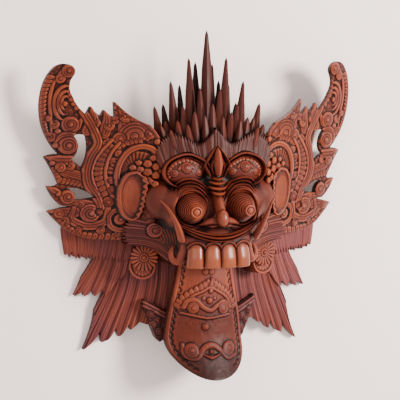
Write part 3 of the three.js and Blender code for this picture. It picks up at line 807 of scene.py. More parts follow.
def carve_tongue():
    r = Relief((-62, -257), (72, -60), 0.75)
    ys = -60 - 194.5 * np.sin(np.linspace(0, math.pi / 2, 60))
    right, left = (np.stack([way * tongue_half(ys) + tongue_lean(ys), ys], axis=1) for way in (1, -1))
    outline = np.vstack([right, left[::-1]])
    depth = inside_distance(r.x, r.y, [outline])
    r.h[:] = 0.3 * value_noise(r.x / 6, r.y / 6, 2)
    # border, which fades into the round end
    fade = 1 - smooth_step(212, 240, -r.y)
    on_border = smooth_step(0.0, 0.6, depth) * (1 - smooth_step(4.2, 4.9, depth))
    r.h += fade * (on_border * 1.8 - 1.0 * np.exp(-(((depth - 5.4) / 0.8) ** 2)))
    r.h -= 0.7 * fade * np.exp(-(((depth - 1.6) / 0.6) ** 2))
    # small curls cut along the inside of the border
    for edge, way in ((left, 1), (right, -1)):
        steps = np.cumsum(np.r_[0, np.linalg.norm(np.diff(edge, axis=0), axis=1)])
        for k in range(24):
            d = 26 + 9.6 * k
            if d > steps[-1] - 36:
                break
            place, ahead = (np.array([np.interp(s, steps, edge[:, 0]), np.interp(s, steps, edge[:, 1])])
                            for s in (d, d + 2))
            t = (ahead - place) / 2
            n = np.array([-t[1], t[0]]) * way
            root = place + 6.0 * n
            r.groove([root - 4.2 * t, root + 1.6 * n - 2.6 * t, root + 3.0 * n, root + 2.6 * n + 2.4 * t,
                      root + 1.0 * n + 2.6 * t], 2.1, 3.0)
    # flame: a raised field with leaf points up its two edges
    crest = trace((-43, -150), (-38, -140, -28, -130), (-12, -122, 4, -114), (20, -122, 28, -131),
                  (38, -142, 43, -154), (38, -162, 34, -166), (4, -169, -40, -160))
    field = inside_distance(r.x, r.y, [crest])
    r.lay(r.all, field, 1.2, 0.9)
    r.lobes([(-43, -152), (-36, -140), (-23, -130), (-8, -122), (4, -115)], 9, 6.2, 1.0, 1.8, 0.6, 1)
    r.lobes([(44, -156), (37, -142), (28, -131), (17, -122), (6, -115)], 9, 6.2, 1.0, 1.8, 0.6, -1)
    r.plume([(5, -128), (5.5, -119), (6.5, -107)], lambda s: np.interp(s, [0, 0.4, 1], [3, 4.2, 0.4]), 1.8, 2.6, 0)
    r.plume([(-37, -150), (-22, -134), (-6, -127), (4, -122), (16, -128), (30, -138), (38, -153)], 2.0, 1.4, 2.4, 0)
    r.plume([(-38, -158), (-8, -165), (4, -166.5), (34, -163)], 1.9, 1.4, 2.4, 0)
    r.plume([(-34, -150), (-29, -141), (-17, -140), (-7, -150), (5, -155), (15, -149), (25, -144), (34, -152)],
            3.4, 1.6, 2.6, 1, 0.9)
    r.snail((-21, -151), 8.2, 0, 1, 2.2, 2.8)
    r.snail((25, -154), 8.2, 180, -1, 2.2, 2.8)
    r.bead((3, -141), 4.4, 2, 2.6)
    for x in (-6, 11):
        r.bead((x, -138), 2.6, 1.6, 1.8)
    # small flower under the teeth
    for way in (1, -1):
        r.snail((2 + 4.6 * way, -99.5), 4.2, 90, way, 1.0, 1.8)
    # knob below the flame
    r.bead((-3, -179), 5, 0.8, 2.8)
    r.bead((-3, -179), 2.2, 3.0, 1.6)
    for k in (-1, 0, 1):
        r.groove([(-3 + 2.6 * k, -186), (-3 + 3.0 * k, -194)], 0.9, 0.8)
    for k in range(-4, 5):
        r.groove([(-2 + 9.5 * k, -172.5 - 0.1 * k), (-2 + 9.5 * k + 0.6, -175.5)], 0.9, 0.7)
    # pair of scrolls at the round end
    r.plume([(-36, -204), (-34, -219), (-17, -223), (-5, -209), (8, -206), (21, -215), (30, -225), (44, -222)],
            taper(2.6, 4.4, 2.6), 0.8, 2.4, 2, 0.8)
    r.snail((-24, -212), 10.2, 0, 1, 1.6, 3.0)
    r.snail((33, -212), 10.2, 180, -1, 1.6, 3.0)
    r.plume([(-8, -218), (5, -223), (19, -219)], taper(0.6, 3.0, 0.6), 1.2, 2.2, 0)
    r.bead((5, -215), 3, 1.6, 2.2)
    return r, depth


def tongue_painted_light(x, y):
    """Painted light and shade: the tongue is lighter under the teeth, against the shadow that they cast, and darker
    towards its end, which turns away from the light.
    """
    return -0.42 + 0.44 * smooth_step(110, 176, -y) + 0.36 * smooth_step(206, 236, -y)


tongue_relief, tongue_depth = carve_tongue()
# the tongue's tone is painted light under the teeth and painted shade towards its end
carve(
    "tongue", tongue_relief, tongue_depth,
    lambda x, y, h: (x, y, tongue_level(x, y) + h),
    lambda x, y: (x, y, tongue_level(x, y) - TONGUE_THICKNESS),
    tone=tongue_painted_light, worn=0.25,
)

# %% [markdown]
# Behind the tongue hangs a garland, like a collar: two plain bands above, and below them a dark strip of small scrolls
# with a scalloped lower edge.

# %% Garland
GARLAND_THICKNESS = 17.0


def garland_level(x):
    return 55 - 0.0012 * x**2


def carve_garland():
    r = Relief((-88, -210), (88, -136), 0.9)
    half = [(0, -150), (42, -163), (84, -141), (86, -149), (76, -172), (66, -198), (61, -204), (54, -199), (46, -201),
            (38, -196), (26, -199), (14, -196), (0, -199)]
    outline = np.array(half + [(-x, y) for x, y in half[::-1]])
    depth = inside_distance(r.x, r.y, [outline])
    r.foliage(6.0, 2.4, 5)
    for drop in (3, 8.5):
        for side in (1, -1):
            band = [(side * x, y - drop) for x, y in ((20, -172), (42, -164), (64, -153), (84, -142))]
            r.plume(band, 2.2, 1.8, 2.6, 0, cut=2.0)
    scrolls = ((75, -162), (64, -172), (52, -180), (62, -188), (44, -188), (71, -178), (52, -194))
    for side in (1, -1):
        for k, (x, y) in enumerate(scrolls):
            r.snail((side * x, y), 5.4, 50 * k, side, 1.6, 2.6, 2.8)
    return r, depth


garland_relief, garland_depth = carve_garland()
carve("garland", garland_relief, garland_depth, lambda x, y, h: (x, y, garland_level(x) + h),
      lambda x, y: (x, y, garland_level(x) - GARLAND_THICKNESS), tone=0.3)

# %% [markdown]
# The head is a rounded block, boxy like the log it came from, and cut off flat behind. A bowl is hollowed out of its
# back, as in masks that are worn or hung, so that the thick wood dries without splitting. The block is a sphere made
# boxy and cut level. Its open rim is then drawn inwards for the flat rim, and up ring by ring for the bowl. A second
# sphere could be joined on instead, but its points don't stand opposite the first one's, and the joint twists.

# %% Head block
BLOCK = (90.5, 96.5, 118.0)
BOWL = (62.0, 70.0, 80.0)
BOXY = 0.62  # below one makes the sphere boxier
BOWL_RINGS = 15
BLOCK_STAIN = 0.15


def signed_power(value, power):
    return math.copysign(abs(value) ** power, value)


def make_head_block():
    form = bmesh.new()
    ball = bmesh.ops.create_uvsphere(form, u_segments=72, v_segments=48, radius=1)["verts"]
    for v in ball:
        v.co = [signed_power(c, BOXY) * h for c, h in zip(v.co, BLOCK)]
    cut_below(form, 0.001, 1e-4)
    rim = open_edges(form)
    for ring in range(BOWL_RINGS):
        rim, points = grow_rim(form, rim)
        half, power = (BOWL, 1) if ring else (BLOCK, 1 / BOXY)
        rise = math.pi / 2 * ring / (BOWL_RINGS - 1)
        wide, high = math.cos(rise), math.sin(rise)
        for v in points:
            turn = math.atan2(signed_power(v.co.y / half[1], power), signed_power(v.co.x / half[0], power))
            v.co = (BOWL[0] * wide * math.cos(turn), BOWL[1] * wide * math.sin(turn), BOWL[2] * high)
    bmesh.ops.remove_doubles(form, verts=form.verts[:], dist=0.01)
    bmesh.ops.recalc_face_normals(form, faces=form.faces[:])
    places = np.array([v.co for v in form.verts])
    return finish_piece("head_block", form, places, np.full(len(places), BLOCK_STAIN), 40)


make_head_block()

# %% [markdown]
# The face is worked out of the front of the block: cheeks, brow mounds with their curls, the sockets of the eyes, and
# folds of skin beside the mouth. One half is carved, and the other is its mirror.

# %% Face
EYE = (37.5, -4.5)
FACE_DOMES = (  # middle and half sizes, and how softly each dome runs into the rest
    ((0, -10, 92), (70, 60, 36), 5),  # the bulk of the face
    ((0, -52, 98), (54, 34, 40), 6),  # the jaw
    ((68, 8, 91), (28, 30, 28), 7),  # a cheek
    ((41, 48, 100), (36, 27, 26), 3),  # a brow
)
SOCKET_LEVEL = 121.0
FACE_BACK = 84.0  # above the bowl


def dome_height(x, y, middle, half):
    """The upper side of an ellipsoid, and nothing beyond it."""
    room = 1 - ((x - middle[0]) / half[0]) ** 2 - ((y - middle[1]) / half[1]) ** 2
    return np.where(room > 0, middle[2] + half[2] * np.sqrt(np.clip(room, 0, 1)), 0)


def soft_max(a, b, reach):
    t = np.clip(0.5 + 0.5 * (a - b) / reach, 0, 1)
    return b * (1 - t) + a * t + reach * t * (1 - t)


def face_ground(x, y):
    n = 2 / BOXY
    ground = 119.5 * np.clip(1 - np.abs(x / 92) ** n - np.abs(y / 98) ** n, 0.02, 1) ** (1 / n)
    for middle, half, softness in FACE_DOMES:
        ground = soft_max(ground, dome_height(x, y, middle, half), softness)
    return ground


def carve_half_face():
    r = Relief((0, -98), (98, 98), 0.85)
    ground = face_ground(r.x, r.y)
    # the ground rises towards the eye, and drops into a socket round it
    reach = np.hypot(r.x - EYE[0], r.y - EYE[1])
    around = 1 - smooth_step(23, 42, reach)
    deep = 1 - smooth_step(20.6, 24.2, reach)
    r.h = (127 - ground) * around * (1 - deep) + (SOCKET_LEVEL - ground) * deep
    # brow: curls and leaf lobes under the rim, and the smooth mound
    r.lobes([(68, 38), (69, 50), (59, 61), (42, 65.5), (27, 60), (15, 50)], 14, 4.0, 0.4, 1.7, 0.3, 1, 0)
    r.plume([(31, 51), (37, 57), (44, 58), (51, 55), (56, 50)], taper(0.5, 2.6, 3, 2.6, 0.5), 0.3, 1.6, 1, 0.6)
    r.snail((43.5, 54), 7.6, 90, 1, 0.4, 2.4, 3.2)
    r.snail((61, 46), 5.2, 90, -1, 0.2, 1.7, 2.6)
    r.snail((24, 47), 5.4, 90, 1, 0.2, 1.7, 2.6)
    # folds of skin and strands beside the mouth
    for k in range(11):
        x = 54 + 3.3 * k
        strand = [(x + 6, -30 - 1.2 * k), (x + 1, -50), (x + 2, -70), (x - 3, -92)]
        r.plume(strand, taper(0.8, 1.6, 1.6, 0.8), 0.3, 2.0, 0)
    # leaf of the nostril
    r.plume([(10, -27), (20, -25), (31, -27)], taper(2.2, 3.4, 0.6), 0.5, 4.5, 1, 0.5, 2.0)
    return r


def mirrored(r):
    """The same relief over both halves of the face."""
    whole = Relief((-r.x[-1, 0], r.y[0, 0]), (r.x[-1, 0], r.y[0, -1]), r.cell)
    whole.h = np.concatenate([r.h[:0:-1], r.h])
    return whole


half_face = carve_half_face()


def face_at(x, y):
    """The height of the carved face at any place."""
    return half_face.sample(half_face.h, np.abs(x), y) + face_ground(np.abs(x), y)


def make_face():
    r = mirrored(half_face)
    ground = face_ground(np.abs(r.x), r.y)
    total = r.h + ground
    # painted shade in the broad hollows of the face, and painted light on its broad rises
    hollow = np.clip((blurred(total, 8 / r.cell) - total) / 4, -0.3, 0.4)
    n = 3.0
    reach = (np.abs(r.x / 97) ** n + np.abs(r.y / 95) ** n) ** (1 / n)
    # the face stops where the block is 91 mm high, so that its flat back stays in the wood, above the bowl
    depth = np.minimum((1 - reach) * 88, (ground - 91) * 0.8)

    def place(x, y, h):
        return x, y, face_ground(np.abs(x), y) + h

    def back(x, y):
        return x, y, np.minimum(FACE_BACK, face_ground(np.abs(x), y) - 8)

    def tone(x, y):
        """Painted shade in the wide hollows and painted light on the broad rises; dark between the strands, and beside
        the root of the nose.
        """
        strands = smooth_step(54, 62, np.abs(x)) * smooth_step(20, 34, -y)
        beside_nose = np.exp(-((np.abs(x) - 14) ** 2 + (y - 33) ** 2) / 80)
        return 0.28 + r.sample(hollow, x, y) + 0.4 * strands + 0.5 * beside_nose

    carve("face", r, depth, place, back, edge=1.0, tone=tone)


make_face()

# %% [markdown]
# The combed fringe stands up from the forehead in three lobes with a saw-tooth edge, like a diadem of hair.

# %% Fringe


def make_fringe(side, end):
    inner = [(80, 26), (80, 44), (75, 58), (62, 70), (42, 76), (27, 71), (18, 66), (9, 74), (-1, 84)]
    outer = [(104, 52), (101, 72), (88, 90), (64, 104), (47, 98), (30, 88), (20, 90), (9, 103), (-1, 116)]
    middle = [(92, 38), (91, 57), (82, 75), (63, 88), (45, 87), (28.5, 79), (19, 78), (9.2, 88), (-1, 100)]
    lines = [[a, m, b] for a, m, b in zip(inner, middle, outer)]
    r = combed(lines, 2.3, 1.2)
    strokes(r, 2.3, 0.9, 30, 0.4, 21)
    edge = [(-0.4, 109)]
    saw = smooth_line([(-1, 107), (6, 99), (13, 91), (21, 84), (28, 83), (36, 88), (48, 94), (61, 97), (71, 93),
                       (79, 85), (83, 75), (82, 64)], 67)
    edge += saw_teeth(saw[1:], (42, 20), 5.4, -1.6)
    lower = [(79, 55), (75, 51), (72, 57), (61, 67), (42, 73), (26, 68), (18, 62), (8, 70)]
    outline = np.array([(-0.4, 80)] + edge + lower)
    level = lambda x, y: 128.5 - 0.13 * np.abs(x) - 3.0 * smooth_step(64, 116, np.hypot(x, y))
    carve_combed("fringe_" + end, r, outline, level, 22, side, 0.8, 0.22)


for side, end in SIDES:
    make_fringe(side, end)

# %% [markdown]
# Forms that lean over or stand free, such as tusks, teeth, spikes and lips, can't be a relief. Each is a sphere drawn
# out along a smooth line, with its own half width and half height at each share of the way.

# %% Forms drawn along a line


def swept(form, points, width, height, around=20, along=24, out=(0, 0, 1), section=2.0, ends=0, ridge=None):
    """Adds a closed form. section 2 is round, 1 is a diamond, 4 is boxy; ends above zero rounds off blunt ends."""
    made = bmesh.ops.create_uvsphere(form, u_segments=around, v_segments=along, radius=1)["verts"]
    unit = np.array([v.co for v in made])
    share = np.arccos(np.clip(-unit[:, 2], -1, 1)) / math.pi
    if ends:
        share = 0.5 - 0.5 * np.cos(math.pi * share)
    line = smooth_line(points, 241)
    tangent = np.gradient(line, axis=0)
    tangent /= np.linalg.norm(tangent, axis=1)[:, None]
    i = np.rint(share * 240).astype(int)
    t = tangent[i]
    across = np.cross(np.broadcast_to(np.array(out, float), t.shape), t)
    across /= np.linalg.norm(across, axis=1)[:, None]
    normal = np.cross(t, across)
    flat = np.hypot(unit[:, 0], unit[:, 1])
    c, s = unit[:, 0] / np.maximum(flat, 1e-9), unit[:, 1] / np.maximum(flat, 1e-9)
    size = (np.abs(c) ** section + np.abs(s) ** section + 1e-12) ** (-1 / section)
    if ridge:
        size = size * (1 + ridge(np.arctan2(s, c), share))
    size = np.where(flat < 1e-5, 0, size)
    if ends:
        size = size * np.clip(1 - np.abs(2 * share - 1) ** ends, 0, 1) ** (1 / ends)
    places = line[i] + across * (c * size * width(share))[:, None] + normal * (s * size * height(share))[:, None]
    for v, place in zip(made, places):
        v.co = place
    return made


def turned(form, profile, place, lean=(0, 0), steps=56):
    """Adds a form turned as on a lathe. The profile is (radius, height), from the foot to the top."""
    axis = Vector((lean[0], lean[1], 1)).normalized()
    aside = Vector((0, 1, 0)).cross(axis).normalized()
    rim = [form.verts.new(Vector(place) + aside * r + axis * h) for r, h in profile]
    edges = [form.edges.new(pair) for pair in zip(rim, rim[1:])]
    bmesh.ops.spin(form, geom=rim + edges, cent=place, axis=axis, angle=2 * math.pi, steps=steps, use_merge=True)


def both_sides(points):
    """The same points for the right side, and mirrored for the left."""
    return [[(side * p[0], *p[1:]) for p in points] for side in (1, -1)]


swept_pieces = []


def finish_swept(name, form, sharp=50):
    bmesh.ops.remove_doubles(form, verts=form.verts[:], dist=0.01)
    bmesh.ops.recalc_face_normals(form, faces=form.faces[:])
    places = np.array([v.co for v in form.verts])
    piece = finish_piece(name, form, places, np.zeros(len(places)), sharp)
    swept_pieces.append(piece)
    return piece


print("forms can be drawn along a line")

# %% [markdown]
# The eyes bulge as stacks of rings that step up to a blunt pupil, cut as if on a lathe.

# %% Eyes
EYE_FOOT = 110.0
EYE_RADIUS = 20.8
EYE_RINGS = [(0, EYE_FOOT), (EYE_RADIUS, EYE_FOOT)]
for k in range(7):  # steps of 1.8 mm in and 4.1 mm up, each with a rounded lip and a small cut behind it
    foot, step = EYE_RADIUS - 1.8 * k, 128.5 + 4.1 * k
    EYE_RINGS += [(foot, step), (foot - 0.5, step + 1.0), (foot - 1.1, step + 0.9), (foot - 1.6, step + 0.1)]
EYE_RINGS += [(8.2, 157.2), (7.6, 158.6), (6.4, 159.0), (5.6, 158.6), (5.2, 157.4), (4.6, 157.4), (4.2, 158.9),
              (2.4, 160.0), (0, 160.2)]


def make_eyes():
    form = bmesh.new()
    profile = [(r, h - EYE_FOOT) for r, h in EYE_RINGS]
    for side in (1, -1):
        turned(form, profile, (side * (EYE[0] - 3), EYE[1] + 1.5, EYE_FOOT), (side * 0.1, -0.05))
    return finish_swept("eyes", form, 35)


make_eyes()

# %% [markdown]
# Four thin crests are nested over each eye and two under it. They could be part of the face's relief, but a crest
# stays crisp when it is drawn out along its own line. The double rim of each brow is made the same way, and it stands
# on the fringe's lower edge.

# %% Lids and brow rims
LIDS = (
    [(7, 12), (10, 19), (21, 31), (36, 38), (50, 37), (58, 30), (64, 20)],
    [(8.5, 8), (12, 16), (22, 27), (36, 33.5), (48, 32), (55, 26), (61, 16)],
    [(11, 5), (14, 12), (21, 20.5), (31, 27), (44, 28), (52, 23), (58, 13)],
    [(14, 3), (19.5, 13), (29, 20.5), (40, 22), (50, 18), (57, 8)],
    [(60, -2), (57.5, -14), (50, -24), (38, -28.5), (26, -26), (18, -18)],
    [(63, -8), (58, -24), (42, -34), (26, -34), (16, -28)],
)
BROW_RIM = [(52, 26), (64, 31), (74, 43), (72.5, 57), (61, 67.5), (42, 72.5), (25, 67), (13, 58), (7, 44), (7, 33)]
BROW_LINE = [(66, 39), (69, 53), (58.5, 63.3), (42, 68), (27, 62.8), (16.5, 55), (11, 43)]


def make_lids():
    form = bmesh.new()
    for lid in LIDS:
        x, y = smooth_line(lid, 24).T
        for points in both_sides(list(zip(x, y, face_at(x, y) - 0.5))):
            swept(form, points, taper(0.5, 2.5, 2.7, 2.5, 0.5), taper(1, 5.0, 5.2, 5.0, 1), 16, 56, section=1.35)
    return finish_swept("lids", form, 40)


def make_brow_rims():
    form = bmesh.new()
    for line, level, half in ((BROW_RIM, 128.0, 2.1), (BROW_LINE, 124.0, 1.4)):
        for points in both_sides([(x, y, level - 0.14 * x) for x, y in line]):
            swept(form, points, taper(0.6, half, half, half, 0.6), taper(2, 7, 7, 7, 2), 16, 84, section=1.5)
    return finish_swept("brow_rims", form, 40)


make_lids()
make_brow_rims()

# %% [markdown]
# The nose is short: a ringed bridge that comes down from the brow leaf, a round polished bulb, and spread nostrils.

# %% Nose and brow leaf


def make_nose():
    tip = bmesh.new()
    swept(tip, [(0, -4, 149), (0, -10, 152), (0, -19, 153), (0, -27, 146)], taper(5.5, 7.8, 8.6, 6),
          taper(7, 9.5, 10, 6), 32, 24, out=(0, 0.3, 1), ends=2)
    finish_swept("nose_tip", tip)
    form = bmesh.new()
    swept(form, [(0, 26, 122), (0, 8, 132), (0, -8, 144), (0, -15, 147)], taper(9, 6.2, 6.4, 7), taper(9, 9, 11, 11),
          28, 30, ends=5)
    for points in both_sides([(3, -20, 145), (12, -20, 144), (21, -22, 141), (30, -26, 136)]):
        swept(form, points, taper(5.5, 5.2, 3.6, 0.6), taper(7, 6.5, 4.5, 1), 20, 24, section=1.6)
    for points in both_sides([(4, -25, 144), (12, -26.5, 143), (19, -26.5, 140)]):
        swept(form, points, taper(2.4, 3.2, 0.8), taper(3.5, 4.5, 1.2), 16, 18, section=1.6)
    for y, z, half in ((38, 129, 8), (32, 131.5, 12), (25, 134, 13.5), (18, 136, 10)):
        fold = [(-half, y + 2, z - 5), (-half / 2, y - 0.6, z), (0, y - 1.4, z + 1.5), (half / 2, y - 0.6, z),
                (half, y + 2, z - 5)]
        swept(form, fold, taper(1.2, 2.8, 3.1, 2.8, 1.2), taper(3, 5, 5.4, 5, 3), 16, 28, section=1.5, ends=4)
    return finish_swept("nose", form)


def make_brow_leaf():
    form = bmesh.new()
    swept(form, [(0, 84, 124), (0, 74, 130), (0, 58, 134), (0, 42, 133)], taper(0.8, 5.5, 7.5, 4),
          taper(1.5, 7, 9, 7), 24, 30, section=1.35)
    for points in both_sides([(0.6, 84, 127), (8, 74, 129), (14.5, 64, 129), (17.5, 57, 127), (12, 46, 128),
                              (9, 39, 129)]):
        swept(form, points, taper(0.9, 1.7, 2.0, 1.9, 1.7, 0.9), taper(3, 5, 5.5, 5, 5, 3), 16, 36, section=1.4)
    for points in both_sides([(1, 74, 128), (5, 66, 131), (9, 56, 131), (6.5, 44, 131)]):
        swept(form, points, taper(0.8, 1.7, 1.9, 1), taper(2, 4, 4.4, 2.5), 14, 26, section=1.4)
    return finish_swept("brow_leaf", form)


make_nose()
make_brow_leaf()

# %% [markdown]
# The mouth grins from cheek to cheek. Three narrow lips run over a scalloped gum, and four broad teeth hang below, with
# a fang at each corner and a slender tusk that sweeps up over the cheek.

# %% Mouth, teeth and tusks


def lip_front(x):
    return 150 - 0.0055 * np.asarray(x, float) ** 2


def make_lips():
    form = bmesh.new()
    xs = np.array([-64, -50, -34, -17, 0, 17, 34, 50, 64])
    for drop, proud, half, tall in ((-0.6, -6, 1.7, 7), (3.2, -3.0, 2.7, 6), (7.6, -4.5, 2.1, 7)):
        share = 1 - (np.abs(xs) / 66) ** 2
        ys = -41.5 + 0.0052 * xs**2 - drop * (0.35 + 0.65 * share) + 1.0
        line = np.stack([xs, ys, lip_front(xs) + proud], axis=1)
        swept(form, line, taper(0.8, half, half, half, 0.8), taper(3, tall, tall, tall, 3), 16, 64, section=1.5, ends=6)
    gum = np.stack([xs * 0.8, -52 + 0.003 * (xs * 0.8) ** 2, lip_front(xs * 0.8) - 12], axis=1)
    swept(form, gum, taper(8, 8), taper(8, 8), 20, 48, section=3, ends=8)
    for k in range(4):
        middle = -33.6 + 22.4 * k
        arc = [(middle + 11.6 * math.cos(a), -59.5 + 10 * math.sin(a), lip_front(middle + 11.6 * math.cos(a)) - 5.5)
               for a in np.linspace(math.pi, 0, 9)]
        swept(form, arc, taper(1.2, 2.4, 2.6, 2.4, 1.2), taper(3, 4.5, 4.5, 4.5, 3), 14, 36)
    return finish_swept("lips", form)


def make_teeth():
    form = bmesh.new()
    for k in range(4):
        top, foot = -31.8 + 21.2 * k, -34.2 + 22.8 * k
        line = [(top + (foot - top) * share, y, float(lip_front(top + (foot - top) * share)) - 7 + dz)
                for share, y, dz in ((0, -49, -9), (0.35, -60, -5), (0.7, -73, -2.5), (1, -86.5, -2))]
        tilt = math.radians(0.62 * foot)  # the row bends round the jaw
        swept(form, line, taper(10.6, 11.6, 12.2, 12.9), taper(8, 10.5, 11, 9.5), 44, 36,
              out=(math.sin(tilt), 0, math.cos(tilt)), section=2.5, ends=14)
    return finish_swept("teeth", form, 60)


def make_tusks():
    form = bmesh.new()
    for points in both_sides([(54, -46, 134), (59, -34, 141), (64, -22, 144.5), (70, -10, 143.5), (77, 2, 139),
                              (85, 11, 132)]):
        swept(form, points, taper(5.6, 5.0, 3.7, 2.7, 1.7, 0.4), taper(9, 7.5, 5.8, 4.4, 2.8, 0.5), 24, 40, section=1.5)
    return finish_swept("tusks", form)


def make_fangs():
    form = bmesh.new()
    for points in both_sides([(44, -47, 124), (44.5, -57, 124), (47, -67, 122), (52, -76, 118), (59, -75.5, 114),
                              (62, -67, 112), (59, -60, 111), (55.5, -61.5, 112)]):
        swept(form, points, taper(7, 8, 8.2, 7.6, 6, 4.4, 3, 1.2), taper(8, 8.5, 8.5, 8, 6.4, 4.8, 3.6, 1.6), 24, 60,
              section=1.9)
    return finish_swept("fangs", form)


make_lips()
make_teeth()
make_tusks()
make_fangs()

# %% [markdown]
# A wheel of petals stands in front of the hair on each side, over a plainer round disc. It is carved as a relief of
# its own and then turned 20 degrees outwards.

# %% Rosettes
ROSETTE = (90.0, -77.0, 72.0)
ROSETTE_TURN = math.radians(20)
PETALS = 18


def rosette_place(u, v, w):
    c, s = math.cos(ROSETTE_TURN), math.sin(ROSETTE_TURN)
    return ROSETTE[0] + u * c + w * s, ROSETTE[1] + v, ROSETTE[2] - u * s + w * c


def carve_wheel():
    r = Relief((-22, -22), (22, 22), 0.5)
    angle = np.arctan2(r.y, r.x)
    away = np.hypot(r.x, r.y)
    rib = np.abs(np.cos(angle * PETALS / 2 + 0.3))
    petal = 19.4 - 1.7 * (1 - rib**0.7)
    width = np.clip((away - 5) / 13, 0, 1)
    ridge = rib**0.55
    r.h = 1.2 + 3.6 * ridge * (0.55 + 0.45 * width) - 0.8 * smooth_step(15, 19, away)
    r.bead((0, 0), 6.2, 3.0, 2.4)
    r.lay(r.all, 4.2 - away, 3.4, 0)
    r.bead((0, 0), 3.0, 3.6, 3.4)
    return r, petal - away


def carve_disc():
    r = Relief((-20, -34), (24, 8), 0.6)
    away = np.hypot(r.x - 3, r.y + 13)
    r.h = 0.4 + 1.7 * smooth_step(15.6, 16.2, away) - 1.2 * np.exp(-(((away - 14.6) / 0.8) ** 2))
    for k in range(5):
        t = math.radians(225 + 22 * k)
        r.plume([(3 + 6 * math.cos(t), -13 + 6 * math.sin(t)), (3 + 12.4 * math.cos(t), -13 + 12.4 * math.sin(t))],
                taper(0.8, 2.2), 0.2, 1.2, 0, 0, 0.5)
    return r, 19.0 - away


wheel_relief, wheel_depth = carve_wheel()
disc_relief, disc_depth = carve_disc()
for side, end in SIDES:
    carve("rosette_" + end, wheel_relief, wheel_depth, lambda u, v, h: rosette_place(u, v, h - 1),
          lambda u, v: rosette_place(u, v, -24), side, 0.8, tone=-0.3)
    carve("rosette_disc_" + end, disc_relief, disc_depth, lambda u, v, h: rosette_place(u, v, h - 5),
          lambda u, v: rosette_place(u, v, -34), side, 0.8, tone=-0.4)

# %% [markdown]
# Below each ear a tuft of hair curls at its root and is combed outwards.

# %% Side tufts
TUFT_THICKNESS = 26.0


def tuft_level(x, y):
    return 90 - 0.45 * (np.abs(x) - 78)


def make_tuft(side, end):
    r = combed([[(58, -84), (76, -69), (94, -62), (116, -60)], [(55, -76), (73, -60), (93, -53), (124, -51)],
                [(52, -68), (69, -51), (90, -44), (127, -41)], [(56, -60), (69, -42), (88, -34), (125, -30)],
                [(62, -50), (70, -33), (86, -24), (114, -15)]], 2.7, 1.0, 5)
    strokes(r, 2.7, 1.3, 8, 1.0, 31)
    saw = smooth_line([(90, -20), (99, -19), (108, -22), (115, -28), (118, -38), (118, -49), (112, -58)], 27)
    outline = [(61, -50), (66, -37), (73, -26), (84, -22)] + saw_teeth(saw, (84, -46), 4.4, -1.8)
    outline += [(98, -60), (86, -62), (75, -68), (64, -79), (57, -74)]
    # the curl lies over the strokes
    u, v = r.across - 80, r.down + 36
    away = np.hypot(u, v)
    phase = (-np.degrees(np.arctan2(v, u)) - 200) / 360 + (10.5 - away) / 4.2
    curl = 3.2 + 2.6 * (0.35 + 0.65 * np.abs(np.sin(np.pi * phase)) ** 0.6)
    curl = np.where(away < 2.6, 7.0, curl + 0.6)
    on = 1 - smooth_step(9.9, 11.3, away)
    r.h = curl * on + (1 - on) * (r.h - 1.6 * np.clip(1 + (11 - away) / 2, 0, 1))
    carve_combed("tuft_" + end, r, np.array(outline), tuft_level, TUFT_THICKNESS, side, 0.9, settled=0.6)


for side, end in SIDES:
    make_tuft(side, end)

# %% [markdown]
# Flames of hair stand over the head in rows, as flat tapered spikes with a ridge down the middle. Rows behind are
# taller, and each row is a fan that falls away from its middle. They grow out of a low mound behind the fringe.

# %% Crown of spikes
MOUND, MOUND_HALF, MOUND_FOOT = (0, 70, 72), (80, 42, 45), 78.0
BLADE = 115.0  # a spike tapers over this much of its upper end
CROWN_ROWS = [  # where the spikes stand, how high the middle one is, the fall to the sides, the depth, the half width
    {"at": (0, 28, 54, 79), "peak": 244, "fall": 1.32, "z": 84, "half": 10},
    {"at": (12, 37, 61), "peak": 212, "fall": 1.17, "z": 68, "half": 9.5},
    {"at": (21, 46, 70), "peak": 196, "fall": 1.2, "z": 76, "half": 9},
    {"at": (14.5, 41, 67), "peak": 176, "fall": 0.85, "z": 96, "half": 10.5},
    {"at": (0, 27, 53, 76), "peak": 142, "fall": 0.42, "z": 110, "half": 11},
    {"at": (13, 40, 65), "peak": 127, "fall": 0.3, "z": 117, "half": 9.5},
]


def spike(form, root, tip, half, out):
    root, tip = np.array(root, float), np.array(tip, float)
    middle = root * 0.52 + tip * 0.48 + np.array([0, 0, 2.0])
    length = np.linalg.norm(tip - root)
    start = max(0.05, 1 - BLADE / length)
    half_at = lambda t: np.interp(t, [0, start, start * 0.45 + 0.55, 1], [half, half, half * 0.72, 1.7])
    swept(form, [root, middle, tip], half_at, lambda t: 0.7 * half_at(t), 16, max(16, int(length / 6)), out=out,
          section=1.3)


def make_crown():
    form = bmesh.new()
    mound = bmesh.ops.create_uvsphere(form, u_segments=56, v_segments=36, radius=1)["verts"]
    for v in mound:
        v.co = [middle + half * c for middle, half, c in zip(MOUND, MOUND_HALF, v.co)]
    cut_below(form, MOUND_FOOT, 1e-4)
    bmesh.ops.triangle_fill(form, use_beauty=True, edges=open_edges(form), normal=(0, 0, -1))
    for row in CROWN_ROWS:
        for x in row["at"]:
            for side in (1, -1) if x else (1,):
                turn = float(value_noise(np.array(x * 0.7 + side), np.array(row["z"] * 0.3), 5)) - 0.5
                tip = (side * x + 3 * turn, row["peak"] - row["fall"] * x - (6 * turn if x else 0), row["z"])
                spike(form, (side * x * 0.8, 60, row["z"] - 6), tip, row["half"], (0.7 * turn, 0, 1))
    return finish_swept("crown", form, 28)


make_crown()

# %% [markdown]
# Dark stain gathers where a brush can't be wiped out again. On the reliefs it follows from the depth of the cuts. On
# the free forms it is measured: rays go out from each point, and the more of them that meet wood nearby, the darker.
# This occlusion is partly that stain and partly painted shade, where the parts shade each other. Some pieces get more
# painted light and shade here too.

# %% Stain and painted shade on the free forms
OCCLUSION_RAYS = 12
RAY_REACH = 14.0
MORE_STAIN = {"lips": 0.15, "lids": 0.15, "nose_tip": 0.2}


